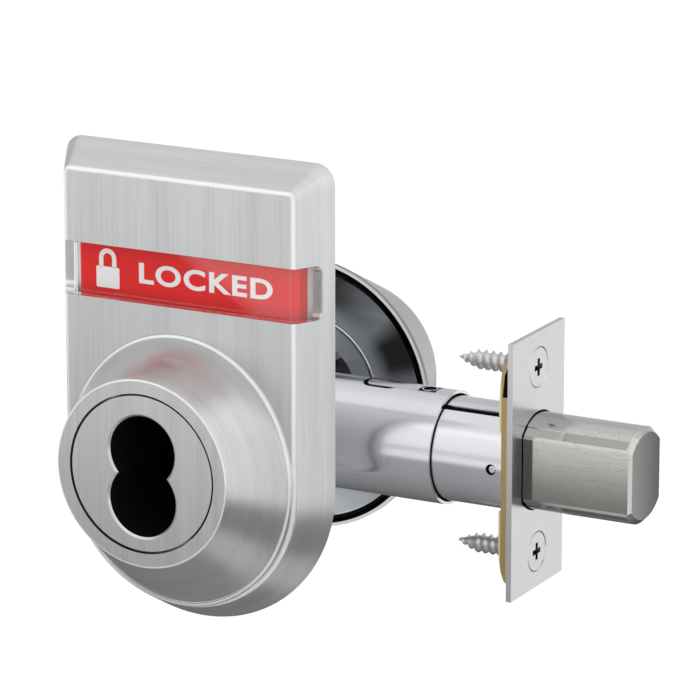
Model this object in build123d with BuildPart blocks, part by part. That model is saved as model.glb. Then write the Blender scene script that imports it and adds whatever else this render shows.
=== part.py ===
from build123d import *
import os
from math import cos, radians, sin, sqrt

# Deadbolt lock: an indicator plate with a core socket outside, a turn inside,
# and a tubular bolt between them, drawn locked, with the bolt thrown.
# X runs along the bolt towards the edge of the door, -Y is the outside, +Z is up.
# The origin is where the axis of the bolt crosses the axis of the cross bore.

# Door preparation
door_thickness = 47.0
backset = 69.85
cross_bore_radius = 27.0
edge_bore_radius = 12.7

# Clearances
running_fit = 0.08
body_gap = 0.3
sliding_gap = 0.1
bore_gap = 0.2

# Motion
throw = 25.4
turn_angle = 90.0
flag_travel = 12.7

# Indicator plate
plate_half_width = 33.1
plate_above_window = 27.2
plate_arc_height = -6.0
plate_depth = 9.25
plate_draft = 0.53
plate_wall = 2.0
plate_corner = 4.4
plate_front_corner = 1.6
plate_edge_round = 1.6

# Window, lens and flag
window_height = 38.5
window_size = 11.9
window_wrap = 6.4
window_corner = 1.6
lens_gap = 0.15
lens_wrap = 6.0
lens_recess = 0.12
lens_lip = 1.4
lens_lip_thickness = 0.6
flag_thickness = 1.0
flag_margin = 0.3
flag_support_gap = 0.3
flag_corner = 1.6
flag_side_gap = 1.5

# Collar round the core housing
collar_height = 16.45
collar_front_radius = 20.7
collar_base_half_width = 27.2
collar_base_half_height = 29.9
collar_base_drop = 3.6
collar_edge_round = 0.5
collar_pocket_depth = 7.5
collar_pocket_gap = 0.4
collar_pocket_width = 3.9
collar_pocket_roof_width = 1.3

# Core housing with its figure-eight socket
housing_body_radius = 16.6
housing_face_step = 0.55
housing_face_gap = 0.5
housing_face_length = 5.0
housing_recess = 0.2
socket_upper_radius = 7.9
socket_upper_height = 4.75
socket_lower_radius = 8.1
socket_lower_drop = 6.05
socket_depth = 31.6
socket_chamfer = 0.45
socket_floor = 1.8
housing_wall = 1.7
housing_groove = 0.5
housing_ring_thickness = 1.0
housing_ring_width = 2.3

# Support plate behind the indicator plate, and its screws
support_thickness = 1.6
support_inset = 1.0
support_gap = 0.4
boss_radius = 2.3
boss_screw_radius = 1.25
boss_screw_head = 2.2
boss_screw_head_height = 1.0
boss_screw_length = 4.6
upper_boss_spread = 15.0
upper_boss_drop = 5.7
lower_boss_spread = 16.0
lower_boss_drop = 22.0
guide_half_width = 24.4
guide_thickness = 1.0
guide_bottom = 18.0
guide_top = 58.0
guide_rail = 0.8
guide_rail_depth = 1.1

# Mounting bolts through the door
mount_edge = 1.5
mount_bolt_radius = 2.0
mount_post_radius = 2.9
mount_post_length = 8.0
mount_neck_radius = 2.4
mount_bolt_engagement = 6.0
mount_head_radius = 3.8
mount_head_height = 2.4

# Faceplate, backing plate and wood screws
face_width = 25.4
face_height = 57.15
face_thickness = 1.2
screw_spread = 20.6375
screw_head_radius = 4.375
screw_head_gap = 0.2
screw_sink_angle = 41.0
screw_shank_radius = 1.55
screw_thread_radius = 2.2
screw_length = 19.05
screw_tip_length = 5.0
screw_neck_length = 3.4
backing_half_width = 12.1
backing_wall = 0.9
backing_depth = 2.2
backing_relief = 0.5
backing_pad_inner = 8.8
backing_pad_outer = 16.4
backing_half_height = 25.0
backing_end_steps = 4
backing_notch_low = 16.6
backing_notch_middle = 21.4
backing_notch_high = 23.8
backing_notch_depth = 1.45
backing_notch_upper_depth = 1.0
backing_screw_clearance = 3.5

# Bolt
bolt_radius = 10.6
bolt_half_thickness = 7.7
bolt_crown_half_width = 5.7
bolt_crown_step = 0.15
bolt_flat_chamfer = 0.4
bolt_end_chamfer = 1.1
bolt_side_chamfer = 0.7
bolt_tail = 50.4
bolt_slot_depth = 9.0
face_hole_gap = 0.35
saw_pin_radius = 2.6
saw_pin_end_wall = 6.0
saw_pin_end_gap = 0.3
saw_pin_chamfer = 0.5

# Tubes
tube_wall = 0.8
sleeve_wall = 0.7
tube_rear = 32.0
sleeve_rear = 19.3
sleeve_front = 49.85
seam_angle = 65.0
seam_width = 1.5
seam_start = 44.0
stake_place = 64.4
stake_radius = 0.9
stake_hole_gap = 0.3
stake_hole_shift = 0.2
stake_sink = 0.25
stake_round = 0.35
latch_slot_start = 28.2
latch_slot_end = 37.0
latch_slot_half_width = 3.2
latch_corner = 2.4
latch_tongue_gap = 1.0
latch_tongue_side_gap = 0.9
button_place = 43.9
button_radius = 1.8
button_slot_gap = 0.3
button_dimple = 1.5

# Bolt bar and its drive
bar_half_thickness = 1.2
bar_strip_low = 6.8
bar_strip_high = 10.3
bar_front_drop = 5.0
bar_front_length = 9.0
bar_step_length = 3.5
bar_pin_radius = 1.5
crank_pin_radius = 1.8
fork_side_gap = 0.6
fork_prong = 2.2
fork_top = 19.5
fork_slot_low = 10.4
arm_gap = 0.3
arm_thickness = 1.6
arm_half_width = 2.2
hub_radius = 6.2
hub_flat = 5.8
hub_journal_radius = 5.2
hub_overhang = 0.7

# Case that carries the hub
case_gap = 0.4
case_thickness = 1.3
case_rear = 12.4
case_half_height = 11.0
case_corner = 3.0
case_front = 24.2
case_front_half_height = 10.2
rivet_radius = 1.5
rivet_head_radius = 2.3
rivet_head_height = 0.6
rivet_spread = 9.6
rivet_drop = 8.5
front_rivet_place = 19.5
front_rivet_drop = 7.6
spring_thickness = 0.4
spring_half_length = 11.4
spring_half_width = 2.8

# Spindle, throw member and indicator drive
spindle_height = 6.0
spindle_thickness = 2.6
spindle_fit = 0.05
throw_disc_radius = 5.5
throw_disc_thickness = 1.4
throw_neck_radius = 5.1
prong_radius = 1.2
prong_offset = 3.4
prong_length = 2.6
flag_pin_radius = 1.5
flag_crank_radius = 4.6
flag_crank_half_width = 2.1
flag_crank_thickness = 1.5
link_thickness = 1.0
link_outer = 23.2
link_width = 4.0
link_overlap = 12.0
link_inner_end = 3.7
link_web = 1.25
link_slot_gap = 0.35
link_yoke_gap = 1.5
flag_crank_gap = 0.8

# Inside trim
rose_rim_radius = 31.5
rose_flange = 1.0
rose_depth = 26.3
rose_face_radius = 20.2
rose_wall = 1.2
rose_edge_round = 0.8
rose_hole_gap = 0.1
inner_plate_radius = 29.9
inner_plate_recess = 0.3
inner_plate_thickness = 1.2
inner_plate_dish = 1.1
inner_plate_step = 0.5
inner_plate_step_radius = 17.8
inner_plate_hole = 12.9
inner_plate_rim_width = 0.9
inner_plate_rim_step = 0.3

# Turn
turn_shank_radius = 5.0
turn_collar_radius = 9.5
turn_collar_height = 2.4
turn_reach = 9.8
turn_lever_half_length = 13.0
turn_lever_base = 8.0
turn_lever_tip = 5.2
turn_lever_round = 1.6
bushing_neck_wall = 0.9
bushing_flange_radius = 8.2
bushing_flange_thickness = 1.1
clip_thickness = 0.8
clip_radius = 6.8
clip_groove = 0.8
shank_tail = 1.4

# Places that follow from the sizes above
plate_top = window_height + plate_above_window
upper_boss_height = plate_top - upper_boss_drop
outside_face = -door_thickness / 2
inside_face = door_thickness / 2
plate_front = outside_face - plate_depth
plate_inner_front = plate_front + plate_wall
side_wall = plate_wall * sqrt(1 + plate_draft**2)
tube_inner = bolt_radius + running_fit
tube_outer = tube_inner + tube_wall
sleeve_outer = edge_bore_radius - bore_gap
sleeve_inner = sleeve_outer - sleeve_wall
face_back = backset - face_thickness
backing_back = face_back - backing_depth
collar_front = plate_front - collar_height
housing_face_radius = housing_body_radius + housing_face_step
housing_ring_radius = housing_body_radius + housing_ring_width
collar_pocket_inner = housing_ring_radius + collar_pocket_gap
housing_front = collar_front + housing_recess
socket_end = housing_front + socket_depth
housing_back = socket_end + socket_floor
support_back = outside_face - support_inset
support_front = support_back - support_thickness
flag_front = plate_inner_front + lens_lip_thickness + 2 * body_gap
flag_back = flag_front + flag_thickness
link_back = flag_back + link_thickness
flag_side_depth = support_front - flag_support_gap - flag_front
flag_half_width = plate_half_width - plate_draft * (outside_face - flag_front) - side_wall - flag_side_gap
guide_back = support_front
mount_spread = cross_bore_radius - mount_post_radius - mount_edge
crank_length = throw / 2 / sin(radians(turn_angle / 2))
crank_start = crank_length * sin(radians(turn_angle / 2))
flag_crank_length = flag_travel / 2 / sin(radians(turn_angle / 2))
flag_pin_start = flag_crank_length * sin(radians(turn_angle / 2))
arm_inner = bar_half_thickness + arm_gap
arm_outer = arm_inner + arm_thickness
case_inner = arm_outer + case_gap
case_outer = case_inner + case_thickness
hub_end = case_outer + hub_overhang
link_yoke_front = housing_back + link_yoke_gap
link_yoke_back = link_yoke_front + link_thickness
flag_crank_front = link_yoke_back + flag_crank_gap
flag_crank_back = flag_crank_front + flag_crank_thickness
inner_plate_front = inside_face + inner_plate_recess
inner_plate_seat = inner_plate_front + inner_plate_dish + inner_plate_thickness
rose_face = inside_face + rose_depth
rose_face_back = rose_face - rose_wall
bushing_neck_radius = turn_shank_radius + running_fit + bushing_neck_wall
bushing_back = rose_face_back - bushing_flange_thickness
clip_front = bushing_back - body_gap
clip_back = clip_front - clip_thickness
shank_end = clip_back - shank_tail
turn_collar_back = rose_face + body_gap
turn_end = turn_collar_back + turn_collar_height + turn_reach


def at_y(y):
    """Plane across the door at y. Its sketches are extruded towards the outside."""
    return Plane.XZ.offset(-y)


def at_x(x):
    """Plane across the bolt at x. Its sketches are extruded towards the edge of the door."""
    return Plane.YZ.offset(x)


def plate_outline(y, inset, corner):
    """Outline of the indicator plate at y: square above, round below, narrower to the front."""
    depth = outside_face - y
    half_width = plate_half_width - plate_draft * depth - inset
    top = plate_top - plate_draft * depth - inset
    with BuildSketch(at_y(y)) as outline:
        with BuildLine():
            Polyline(
                (-half_width, plate_arc_height),
                (-half_width, top),
                (half_width, top),
                (half_width, plate_arc_height),
            )
            RadiusArc((half_width, plate_arc_height), (-half_width, plate_arc_height), half_width)
        make_face()
        fillet(outline.vertices().group_by(Axis.Y)[-1], corner)
    return outline.sketch


def plate_body(front, inset, corner, front_corner):
    """Drafted block of the plate's outline, from the door to the plane at front."""
    with BuildPart() as body:
        back_outline = plate_outline(outside_face, inset, corner)
        front_outline = plate_outline(front, inset, front_corner)
        loft([back_outline, front_outline], ruled=True)
    return body.part


def socket_outline(grow):
    """The two lobes of the core socket, in the current sketch, grown on every side."""
    with Locations((0, socket_upper_height)):
        Circle(socket_upper_radius + grow)
    with Locations((0, -socket_lower_drop)):
        Circle(socket_lower_radius + grow)


def bolt_section(grow):
    """Round bolt with two flat sides, in the current sketch."""
    Circle(bolt_radius + grow)
    Rectangle(
        2 * (bolt_half_thickness + grow),
        4 * bolt_radius,
        mode=Mode.INTERSECT,
    )


def spindle_slot():
    """Hole for the flat spindle, in the current sketch."""
    Rectangle(
        spindle_thickness + 2 * spindle_fit,
        spindle_height + 2 * spindle_fit,
        mode=Mode.SUBTRACT,
    )


def crank_arm(length, angle, half_width):
    """Straight arm with a round end, in the current sketch, from the turning axis."""
    reach = (length * cos(radians(angle)), length * sin(radians(angle)))
    with Locations((reach[0] / 2, reach[1] / 2)):
        Rectangle(length, 2 * half_width, rotation=angle)
    with Locations(reach):
        Circle(half_width)


boss_places = [
    (-upper_boss_spread, upper_boss_height),
    (upper_boss_spread, upper_boss_height),
    (-lower_boss_spread, -lower_boss_drop),
    (lower_boss_spread, -lower_boss_drop),
]
mount_places = [(0, mount_spread), (0, -mount_spread)]

# Indicator plate: a drafted shell, open to the door, with the window cut round both sides
outer_block = plate_body(plate_front, 0, plate_corner, plate_front_corner)
inner_block = plate_body(plate_inner_front, side_wall, plate_corner - plate_wall / 2, plate_front_corner)

with BuildPart() as plate_bosses:
    with BuildSketch(at_y(support_front)):
        with Locations(*boss_places):
            Circle(boss_radius)
    extrude(amount=support_front - plate_inner_front + plate_wall / 2)
    add(outer_block, mode=Mode.INTERSECT)

with BuildPart() as indicator_plate:
    add(outer_block)
    fillet(indicator_plate.edges().group_by(Axis.Y)[0], plate_edge_round)
    add(inner_block, mode=Mode.SUBTRACT)
    add(plate_bosses.part)
    with BuildSketch(at_y(support_front)):
        with Locations(*boss_places):
            Circle(boss_screw_radius + sliding_gap)
    extrude(amount=boss_screw_length - support_thickness + body_gap, mode=Mode.SUBTRACT)
    with BuildSketch(at_y(plate_inner_front)):
        Circle(housing_body_radius + body_gap)
    extrude(amount=2 * plate_wall, mode=Mode.SUBTRACT)
    with BuildSketch(Plane.YZ) as window_slot:
        with Locations((plate_front, window_height)):
            Rectangle(2 * window_wrap, window_size)
        fillet(window_slot.vertices().group_by(Axis.X)[-1], window_corner)
    extrude(amount=2 * plate_half_width, both=True, mode=Mode.SUBTRACT)
indicator_plate.part.label = "indicator_plate"
export_step(indicator_plate.part, "parts/indicator_plate.step")

# Lens: the same drafted walls, just inside the window, with a lip behind the front wall
lens_half_height = window_size / 2 - lens_gap
with BuildPart() as lens_wall:
    add(outer_block)
    fillet(lens_wall.edges().group_by(Axis.Y)[0], plate_edge_round)
    add(inner_block, mode=Mode.SUBTRACT)

with BuildPart() as window_lens:
    with BuildSketch(Plane.YZ) as lens_band:
        with Locations(((plate_front + lens_recess + plate_front + lens_wrap) / 2, window_height)):
            Rectangle(lens_wrap - lens_recess, 2 * lens_half_height)
        fillet(lens_band.vertices().group_by(Axis.X)[-1], window_corner)
    extrude(amount=2 * plate_half_width, both=True)
    add(lens_wall.part, mode=Mode.INTERSECT)
    with BuildSketch(at_y(plate_inner_front + lens_lip_thickness)):
        with Locations((0, window_height)):
            Rectangle(2 * (flag_half_width - sliding_gap), window_size + 2 * lens_lip)
    extrude(amount=lens_lip_thickness)
window_lens.part.label = "window_lens"
export_step(window_lens.part, "parts/window_lens.step")

# Indicator flag: a channel that rides inside the plate, two fields high, locked field below
flag_bottom = window_height - window_size / 2 - flag_margin
flag_top = window_height + window_size / 2 + flag_travel + lens_gap
flag_side_spread = plate_draft * flag_side_depth


def flag_channel(inset, depth):
    """Half of the flag's channel, seen from above, as far as the right-hand side wall."""
    front = flag_front + inset
    half_width = flag_half_width - inset * sqrt(1 + plate_draft**2)
    spread = flag_side_spread
    with BuildSketch(Plane.XY.offset(flag_bottom)) as channel:
        with BuildLine():
            Polyline(
                (-half_width - spread, front + depth),
                (-half_width, front),
                (half_width, front),
                (half_width + spread, front + depth),
                close=True,
            )
        make_face()
        fillet(channel.vertices().group_by(Axis.Y)[0], flag_corner)
    return channel.sketch


with BuildPart() as indicator_flag:
    add(flag_channel(0, flag_side_depth))
    extrude(amount=flag_top - flag_bottom)
    add(flag_channel(flag_thickness, flag_side_depth))
    extrude(amount=flag_top - flag_bottom, mode=Mode.SUBTRACT)
indicator_flag.part.label = "indicator_flag"
export_step(indicator_flag.part, "parts/indicator_flag.step")

# Flag link: a strip from the flag, back through the door face, to a slot round the crank pin
link_bottom = flag_pin_start - flag_pin_radius - link_slot_gap - link_web
link_top = flag_pin_start + flag_pin_radius + link_slot_gap + link_web
link_slot_height = 2 * (flag_pin_radius + link_slot_gap)
link_slot_left = flag_crank_length + flag_pin_radius + link_slot_gap
link_slot_right = flag_pin_start - flag_pin_radius - link_slot_gap

with BuildPart() as flag_link:
    with BuildSketch(at_y(link_back)):
        with Locations((-link_outer, link_bottom)):
            Rectangle(link_width, flag_bottom + link_overlap - link_bottom, align=Align.MIN)
    extrude(amount=link_thickness)
    with BuildSketch(at_y(link_yoke_back)):
        with Locations((-link_outer, link_bottom)):
            Rectangle(link_width, link_thickness, align=Align.MIN)
    extrude(amount=link_yoke_back - flag_back)
    with BuildSketch(at_y(link_yoke_back)):
        with Locations((-link_outer, link_bottom)):
            Rectangle(link_outer - link_inner_end, link_top - link_bottom, align=Align.MIN)
        with Locations((-(link_slot_left + link_slot_right) / 2, flag_pin_start)):
            Rectangle(link_slot_left - link_slot_right, link_slot_height, mode=Mode.SUBTRACT)
    extrude(amount=link_thickness)
flag_link.part.label = "flag_link"
export_step(flag_link.part, "parts/flag_link.step")

# Collar: a tapered skirt from an oval base on the plate to the round front
with BuildPart() as collar:
    with BuildSketch(at_y(plate_front)) as collar_base:
        with Locations((0, -collar_base_drop)):
            Ellipse(collar_base_half_width, collar_base_half_height)
    with BuildSketch(at_y(collar_front)) as collar_top:
        Circle(collar_front_radius)
    loft(ruled=True)
    fillet(collar.edges().sort_by(Axis.Y)[0], collar_edge_round)
    with BuildSketch(at_y(plate_front)):
        Circle(housing_body_radius + sliding_gap)
    extrude(amount=collar_height, mode=Mode.SUBTRACT)
    with BuildSketch(at_y(collar_front + housing_recess + housing_face_length + sliding_gap)):
        Circle(housing_face_radius + housing_face_gap)
    extrude(amount=2 * housing_face_length, mode=Mode.SUBTRACT)
    with BuildSketch(Plane.XY):
        with BuildLine():
            Polyline(
                (collar_pocket_inner, plate_front),
                (collar_pocket_inner, plate_front - collar_pocket_depth),
                (collar_pocket_inner + collar_pocket_roof_width, plate_front - collar_pocket_depth),
                (collar_pocket_inner + collar_pocket_width, plate_front),
                close=True,
            )
        make_face()
    revolve(axis=Axis.Y, mode=Mode.SUBTRACT)
collar.part.label = "collar"
export_step(collar.part, "parts/collar.step")

# Core housing: round where the collar holds it, then a narrow shell round the socket
with BuildPart() as core_housing:
    with BuildSketch(at_y(housing_front + housing_face_length)):
        Circle(housing_face_radius)
    extrude(amount=housing_face_length)
    with BuildSketch(at_y(support_front - body_gap)):
        Circle(housing_body_radius)
    extrude(amount=support_front - body_gap - housing_front - housing_face_length)
    with BuildSketch(at_y(housing_back)):
        socket_outline(housing_wall)
    extrude(amount=housing_back - support_front + plate_depth)
    with BuildSketch(at_y(socket_end)):
        socket_outline(0)
    extrude(amount=socket_depth, mode=Mode.SUBTRACT)
    chamfer(
        core_housing.faces().sort_by(Axis.Y)[0].inner_wires().edges(),
        socket_chamfer,
    )
    with BuildSketch(at_y(housing_back)):
        Circle(throw_neck_radius + running_fit)
    extrude(amount=2 * socket_floor, mode=Mode.SUBTRACT)
    with BuildSketch(at_y(plate_inner_front + sliding_gap + housing_ring_thickness)):
        Circle(housing_body_radius + housing_groove)
        Circle(housing_body_radius - housing_groove, mode=Mode.SUBTRACT)
    extrude(amount=housing_ring_thickness, mode=Mode.SUBTRACT)
core_housing.part.label = "core_housing"
export_step(core_housing.part, "parts/core_housing.step")

# Split ring that holds the housing and the collar against the plate
with BuildPart() as housing_ring:
    with BuildSketch(at_y(plate_inner_front + housing_ring_thickness)):
        Circle(housing_ring_radius)
        Circle(housing_body_radius - housing_groove + sliding_gap, mode=Mode.SUBTRACT)
        with Locations((0, -housing_ring_radius)):
            Rectangle(housing_body_radius, housing_ring_radius / 2, mode=Mode.SUBTRACT)
    extrude(amount=housing_ring_thickness - sliding_gap)
housing_ring.part.label = "housing_ring"
export_step(housing_ring.part, "parts/housing_ring.step")

# Flag guide: a moulded tray behind the flag, with a rail at each side
with BuildPart() as flag_guide:
    with BuildSketch(at_y(guide_back)):
        with Locations((0, (guide_bottom + guide_top) / 2)):
            Rectangle(2 * guide_half_width, guide_top - guide_bottom)
        with Locations(*boss_places):
            Circle(boss_radius + body_gap, mode=Mode.SUBTRACT)
    extrude(amount=guide_thickness)
    with BuildSketch(at_y(guide_back)):
        for side in (-1, 1):
            with Locations((side * (guide_half_width - guide_rail / 2), (guide_bottom + guide_top) / 2)):
                Rectangle(guide_rail, guide_top - guide_bottom)
    extrude(amount=guide_thickness + guide_rail_depth)
flag_guide.part.label = "flag_guide"
export_step(flag_guide.part, "parts/flag_guide.step")

# Support plate: closes the back of the indicator plate, up to the face of the door
shelf_slot_low = link_bottom - flag_travel - body_gap
shelf_slot_high = link_bottom + link_thickness + body_gap
support_outline = plate_outline(support_front, side_wall + support_gap, plate_corner - plate_wall)

with BuildPart() as support_plate:
    extrude(support_outline, amount=support_thickness, dir=(0, 1, 0))
    with BuildSketch(at_y(support_back)):
        socket_outline(housing_wall + body_gap)
        with Locations((-link_outer + link_width / 2, (shelf_slot_low + shelf_slot_high) / 2)):
            Rectangle(link_width + 2 * body_gap, shelf_slot_high - shelf_slot_low)
        with Locations(*mount_places):
            Circle(mount_neck_radius)
        with Locations(*boss_places):
            Circle(boss_screw_radius + sliding_gap)
    extrude(amount=support_thickness, mode=Mode.SUBTRACT)
support_plate.part.label = "support_plate"
export_step(support_plate.part, "parts/support_plate.step")

# Four screws through the support plate into the bosses of the indicator plate
with BuildPart() as support_screws:
    with BuildSketch(at_y(support_back + boss_screw_head_height)):
        with Locations(*boss_places):
            Circle(boss_screw_head)
    extrude(amount=boss_screw_head_height)
    with BuildSketch(at_y(support_back)):
        with Locations(*boss_places):
            Circle(boss_screw_radius)
    extrude(amount=boss_screw_length)
support_screws.part.label = "support_screws"
export_step(support_screws.part, "parts/support_screws.step")

# Threaded posts riveted into the support plate
post_end = support_back + mount_post_length
with BuildPart() as mounting_posts:
    with BuildSketch(at_y(post_end)):
        with Locations(*mount_places):
            Circle(mount_post_radius)
    extrude(amount=mount_post_length)
    with BuildSketch(at_y(support_back)):
        with Locations(*mount_places):
            Circle(mount_neck_radius)
    extrude(amount=support_thickness)
    with BuildSketch(at_y(post_end)):
        with Locations(*mount_places):
            Circle(mount_bolt_radius + running_fit)
    extrude(amount=mount_post_length, mode=Mode.SUBTRACT)
mounting_posts.part.label = "mounting_posts"
export_step(mounting_posts.part, "parts/mounting_posts.step")

# Mounting bolts from the inside of the door into the posts
with BuildPart() as mounting_bolts:
    with BuildSketch(at_y(inner_plate_seat + mount_head_height)):
        with Locations(*mount_places):
            Circle(mount_head_radius)
    extrude(amount=mount_head_height)
    with BuildSketch(at_y(inner_plate_seat)):
        with Locations(*mount_places):
            Circle(mount_bolt_radius)
    extrude(amount=inner_plate_seat - post_end + mount_bolt_engagement)
mounting_bolts.part.label = "mounting_bolts"
export_step(mounting_bolts.part, "parts/mounting_bolts.step")

# Inner plate: a dished steel disc on the inside face of the door
dish_y = inner_plate_front + inner_plate_dish
rim_inner_radius = inner_plate_radius - inner_plate_rim_width
plate_profile = [
    (inner_plate_radius, inner_plate_front),
    (rim_inner_radius, inner_plate_front),
    (rim_inner_radius - inner_plate_rim_step, inner_plate_front + inner_plate_rim_step),
    (inner_plate_step_radius, dish_y),
    (inner_plate_step_radius - inner_plate_step, dish_y - inner_plate_step),
    (inner_plate_hole, dish_y - inner_plate_step),
]
plate_profile_back = [(r, y + inner_plate_thickness) for r, y in reversed(plate_profile)]

with BuildPart() as inner_plate:
    with BuildSketch(Plane.XY):
        with BuildLine():
            Polyline(*plate_profile, *plate_profile_back, close=True)
        make_face()
    revolve(axis=Axis.Y)
    with BuildSketch(at_y(inner_plate_seat)):
        with Locations(*mount_places):
            Circle(mount_bolt_radius + body_gap)
    extrude(amount=4 * inner_plate_thickness, mode=Mode.SUBTRACT)
inner_plate.part.label = "inner_plate"
export_step(inner_plate.part, "parts/inner_plate.step")

# Rose: a hollow cone over the inner plate, open to the door
with BuildPart() as inside_rose:
    with BuildSketch(Plane.XY):
        with BuildLine():
            Polyline(
                (0, inside_face),
                (rose_rim_radius, inside_face),
                (rose_rim_radius, inside_face + rose_flange),
                (rose_face_radius, rose_face),
                (0, rose_face),
                close=True,
            )
        make_face()
    revolve(axis=Axis.Y)
    fillet(inside_rose.edges().sort_by(Axis.Y)[-1], rose_edge_round)
    with BuildSketch(Plane.XY):
        with BuildLine():
            Polyline(
                (0, inside_face),
                (rose_rim_radius - rose_wall, inside_face),
                (rose_rim_radius - rose_wall, inside_face + rose_flange + inner_plate_dish),
                (rose_face_radius - rose_wall, rose_face_back),
                (0, rose_face_back),
                close=True,
            )
        make_face()
    revolve(axis=Axis.Y, mode=Mode.SUBTRACT)
    with BuildSketch(at_y(rose_face)):
        Circle(bushing_neck_radius + rose_hole_gap)
    extrude(amount=2 * rose_wall, mode=Mode.SUBTRACT)
inside_rose.part.label = "inside_rose"
export_step(inside_rose.part, "parts/inside_rose.step")

# Bushing in the face of the rose
with BuildPart() as turn_bushing:
    with BuildSketch(at_y(rose_face_back)):
        Circle(bushing_flange_radius)
    extrude(amount=bushing_flange_thickness)
    with BuildSketch(at_y(rose_face)):
        Circle(bushing_neck_radius)
    extrude(amount=rose_wall)
    with BuildSketch(at_y(rose_face)):
        Circle(turn_shank_radius + running_fit)
    extrude(amount=2 * rose_wall, mode=Mode.SUBTRACT)
turn_bushing.part.label = "turn_bushing"
export_step(turn_bushing.part, "parts/turn_bushing.step")

# Turn: a round collar with a tapered lever across it, on a hollow shank
with BuildPart() as thumbturn:
    with BuildSketch(at_y(turn_collar_back)):
        Circle(turn_shank_radius)
    extrude(amount=turn_collar_back - shank_end)
    with BuildSketch(at_y(turn_collar_back + turn_collar_height)):
        Circle(turn_collar_radius)
    extrude(amount=turn_collar_height)
    fillet(thumbturn.edges().filter_by(GeomType.CIRCLE).sort_by(Axis.Y)[-1], turn_collar_height / 2)
    with BuildSketch(at_y(turn_end - turn_reach - turn_collar_height / 2)):
        SlotOverall(2 * turn_lever_half_length, turn_lever_base, rotation=90)
    with BuildSketch(at_y(turn_end)):
        SlotOverall(2 * turn_lever_half_length, turn_lever_tip, rotation=90)
    loft(ruled=True)
    fillet(thumbturn.edges().group_by(Axis.Y)[-1], turn_lever_round)
    with BuildSketch(at_y(clip_back + sliding_gap)):
        Circle(turn_shank_radius + clip_groove)
        Circle(turn_shank_radius - clip_groove, mode=Mode.SUBTRACT)
    extrude(amount=clip_thickness + 2 * sliding_gap, mode=Mode.SUBTRACT)
    with BuildSketch(at_y(turn_collar_back)):
        Rectangle(spindle_thickness + 2 * spindle_fit, spindle_height + 2 * spindle_fit)
    extrude(amount=2 * (turn_collar_back - shank_end), mode=Mode.SUBTRACT)
thumbturn.part.label = "thumbturn"
export_step(thumbturn.part, "parts/thumbturn.step")

# Clip that keeps the turn in the rose
with BuildPart() as turn_clip:
    with BuildSketch(at_y(clip_back)):
        Circle(clip_radius)
        Circle(turn_shank_radius - clip_groove + spindle_fit, mode=Mode.SUBTRACT)
        with Locations((clip_radius, 0)):
            Rectangle(clip_radius, turn_shank_radius, mode=Mode.SUBTRACT)
    extrude(amount=clip_thickness)
turn_clip.part.label = "turn_clip"
export_step(turn_clip.part, "parts/turn_clip.step")

# Spindle: a flat bar from the turn, through the hub, to the back of the core
spindle_front = housing_back - socket_floor
spindle_back = turn_collar_back - body_gap
with BuildPart() as spindle:
    with BuildSketch(at_y(spindle_back)):
        Rectangle(spindle_thickness, spindle_height)
    extrude(amount=spindle_back - spindle_front)
spindle.part.label = "spindle"
export_step(spindle.part, "parts/spindle.step")

# Throw member: the part that a core would turn, with two prongs at the socket's floor
throw_back = housing_back + body_gap
with BuildPart() as throw_member:
    with BuildSketch(at_y(throw_back)):
        Circle(throw_neck_radius)
    extrude(amount=throw_back - socket_end + body_gap)
    with BuildSketch(at_y(socket_end - body_gap)):
        Circle(throw_disc_radius)
    extrude(amount=throw_disc_thickness)
    with BuildSketch(at_y(throw_back)):
        Rectangle(spindle_thickness + 2 * spindle_fit, spindle_height + 2 * spindle_fit)
    extrude(amount=throw_back - spindle_front, mode=Mode.SUBTRACT)
    with BuildSketch(at_y(socket_end - body_gap - throw_disc_thickness)):
        with Locations((-prong_offset, 0), (prong_offset, 0)):
            Circle(prong_radius)
    extrude(amount=prong_length)
throw_member.part.label = "throw_member"
export_step(throw_member.part, "parts/throw_member.step")

# Flag crank: the arm on the spindle that lifts and lowers the flag
flag_pin_angle = 180 - turn_angle / 2
with BuildPart() as flag_crank:
    with BuildSketch(at_y(flag_crank_back)):
        Circle(flag_crank_radius)
        crank_arm(flag_crank_length, flag_pin_angle, flag_crank_half_width)
        spindle_slot()
    extrude(amount=flag_crank_thickness)
    with BuildSketch(at_y(flag_crank_front)):
        with Locations((-flag_pin_start, flag_pin_start)):
            Circle(flag_pin_radius)
    extrude(amount=flag_crank_front - link_yoke_front + body_gap)
flag_crank.part.label = "flag_crank"
export_step(flag_crank.part, "parts/flag_crank.step")

# Hub: a journal in each case plate, two arms astride the bolt bar and the pin between them
with BuildPart() as cam_hub:
    with BuildSketch(at_y(hub_end)):
        Circle(hub_journal_radius)
    extrude(amount=2 * hub_end)
    with BuildSketch(at_y(arm_outer)):
        Circle(hub_radius)
        with Locations((-hub_radius - hub_flat, 0), (0, -hub_radius - hub_flat)):
            Rectangle(2 * hub_radius, 2 * hub_radius, mode=Mode.SUBTRACT)
        Circle(hub_journal_radius)
    extrude(amount=2 * arm_outer)
    for arm_back in (arm_outer, -arm_inner):
        with BuildSketch(at_y(arm_back)):
            crank_arm(crank_length, turn_angle / 2, arm_half_width)
        extrude(amount=arm_thickness)
    with BuildSketch(at_y(arm_outer)):
        with Locations((crank_start, crank_start)):
            Circle(crank_pin_radius)
    extrude(amount=2 * arm_outer)
    with BuildSketch(at_y(hub_end)):
        Rectangle(spindle_thickness + 2 * spindle_fit, spindle_height + 2 * spindle_fit)
    extrude(amount=2 * hub_end, mode=Mode.SUBTRACT)
cam_hub.part.label = "cam_hub"
export_step(cam_hub.part, "parts/cam_hub.step")

# Case plates on both sides of the hub, held apart by three rivets
rivet_places = [
    (-rivet_spread, -rivet_drop),
    (rivet_spread, -rivet_drop),
    (front_rivet_place, -front_rivet_drop),
]


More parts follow.
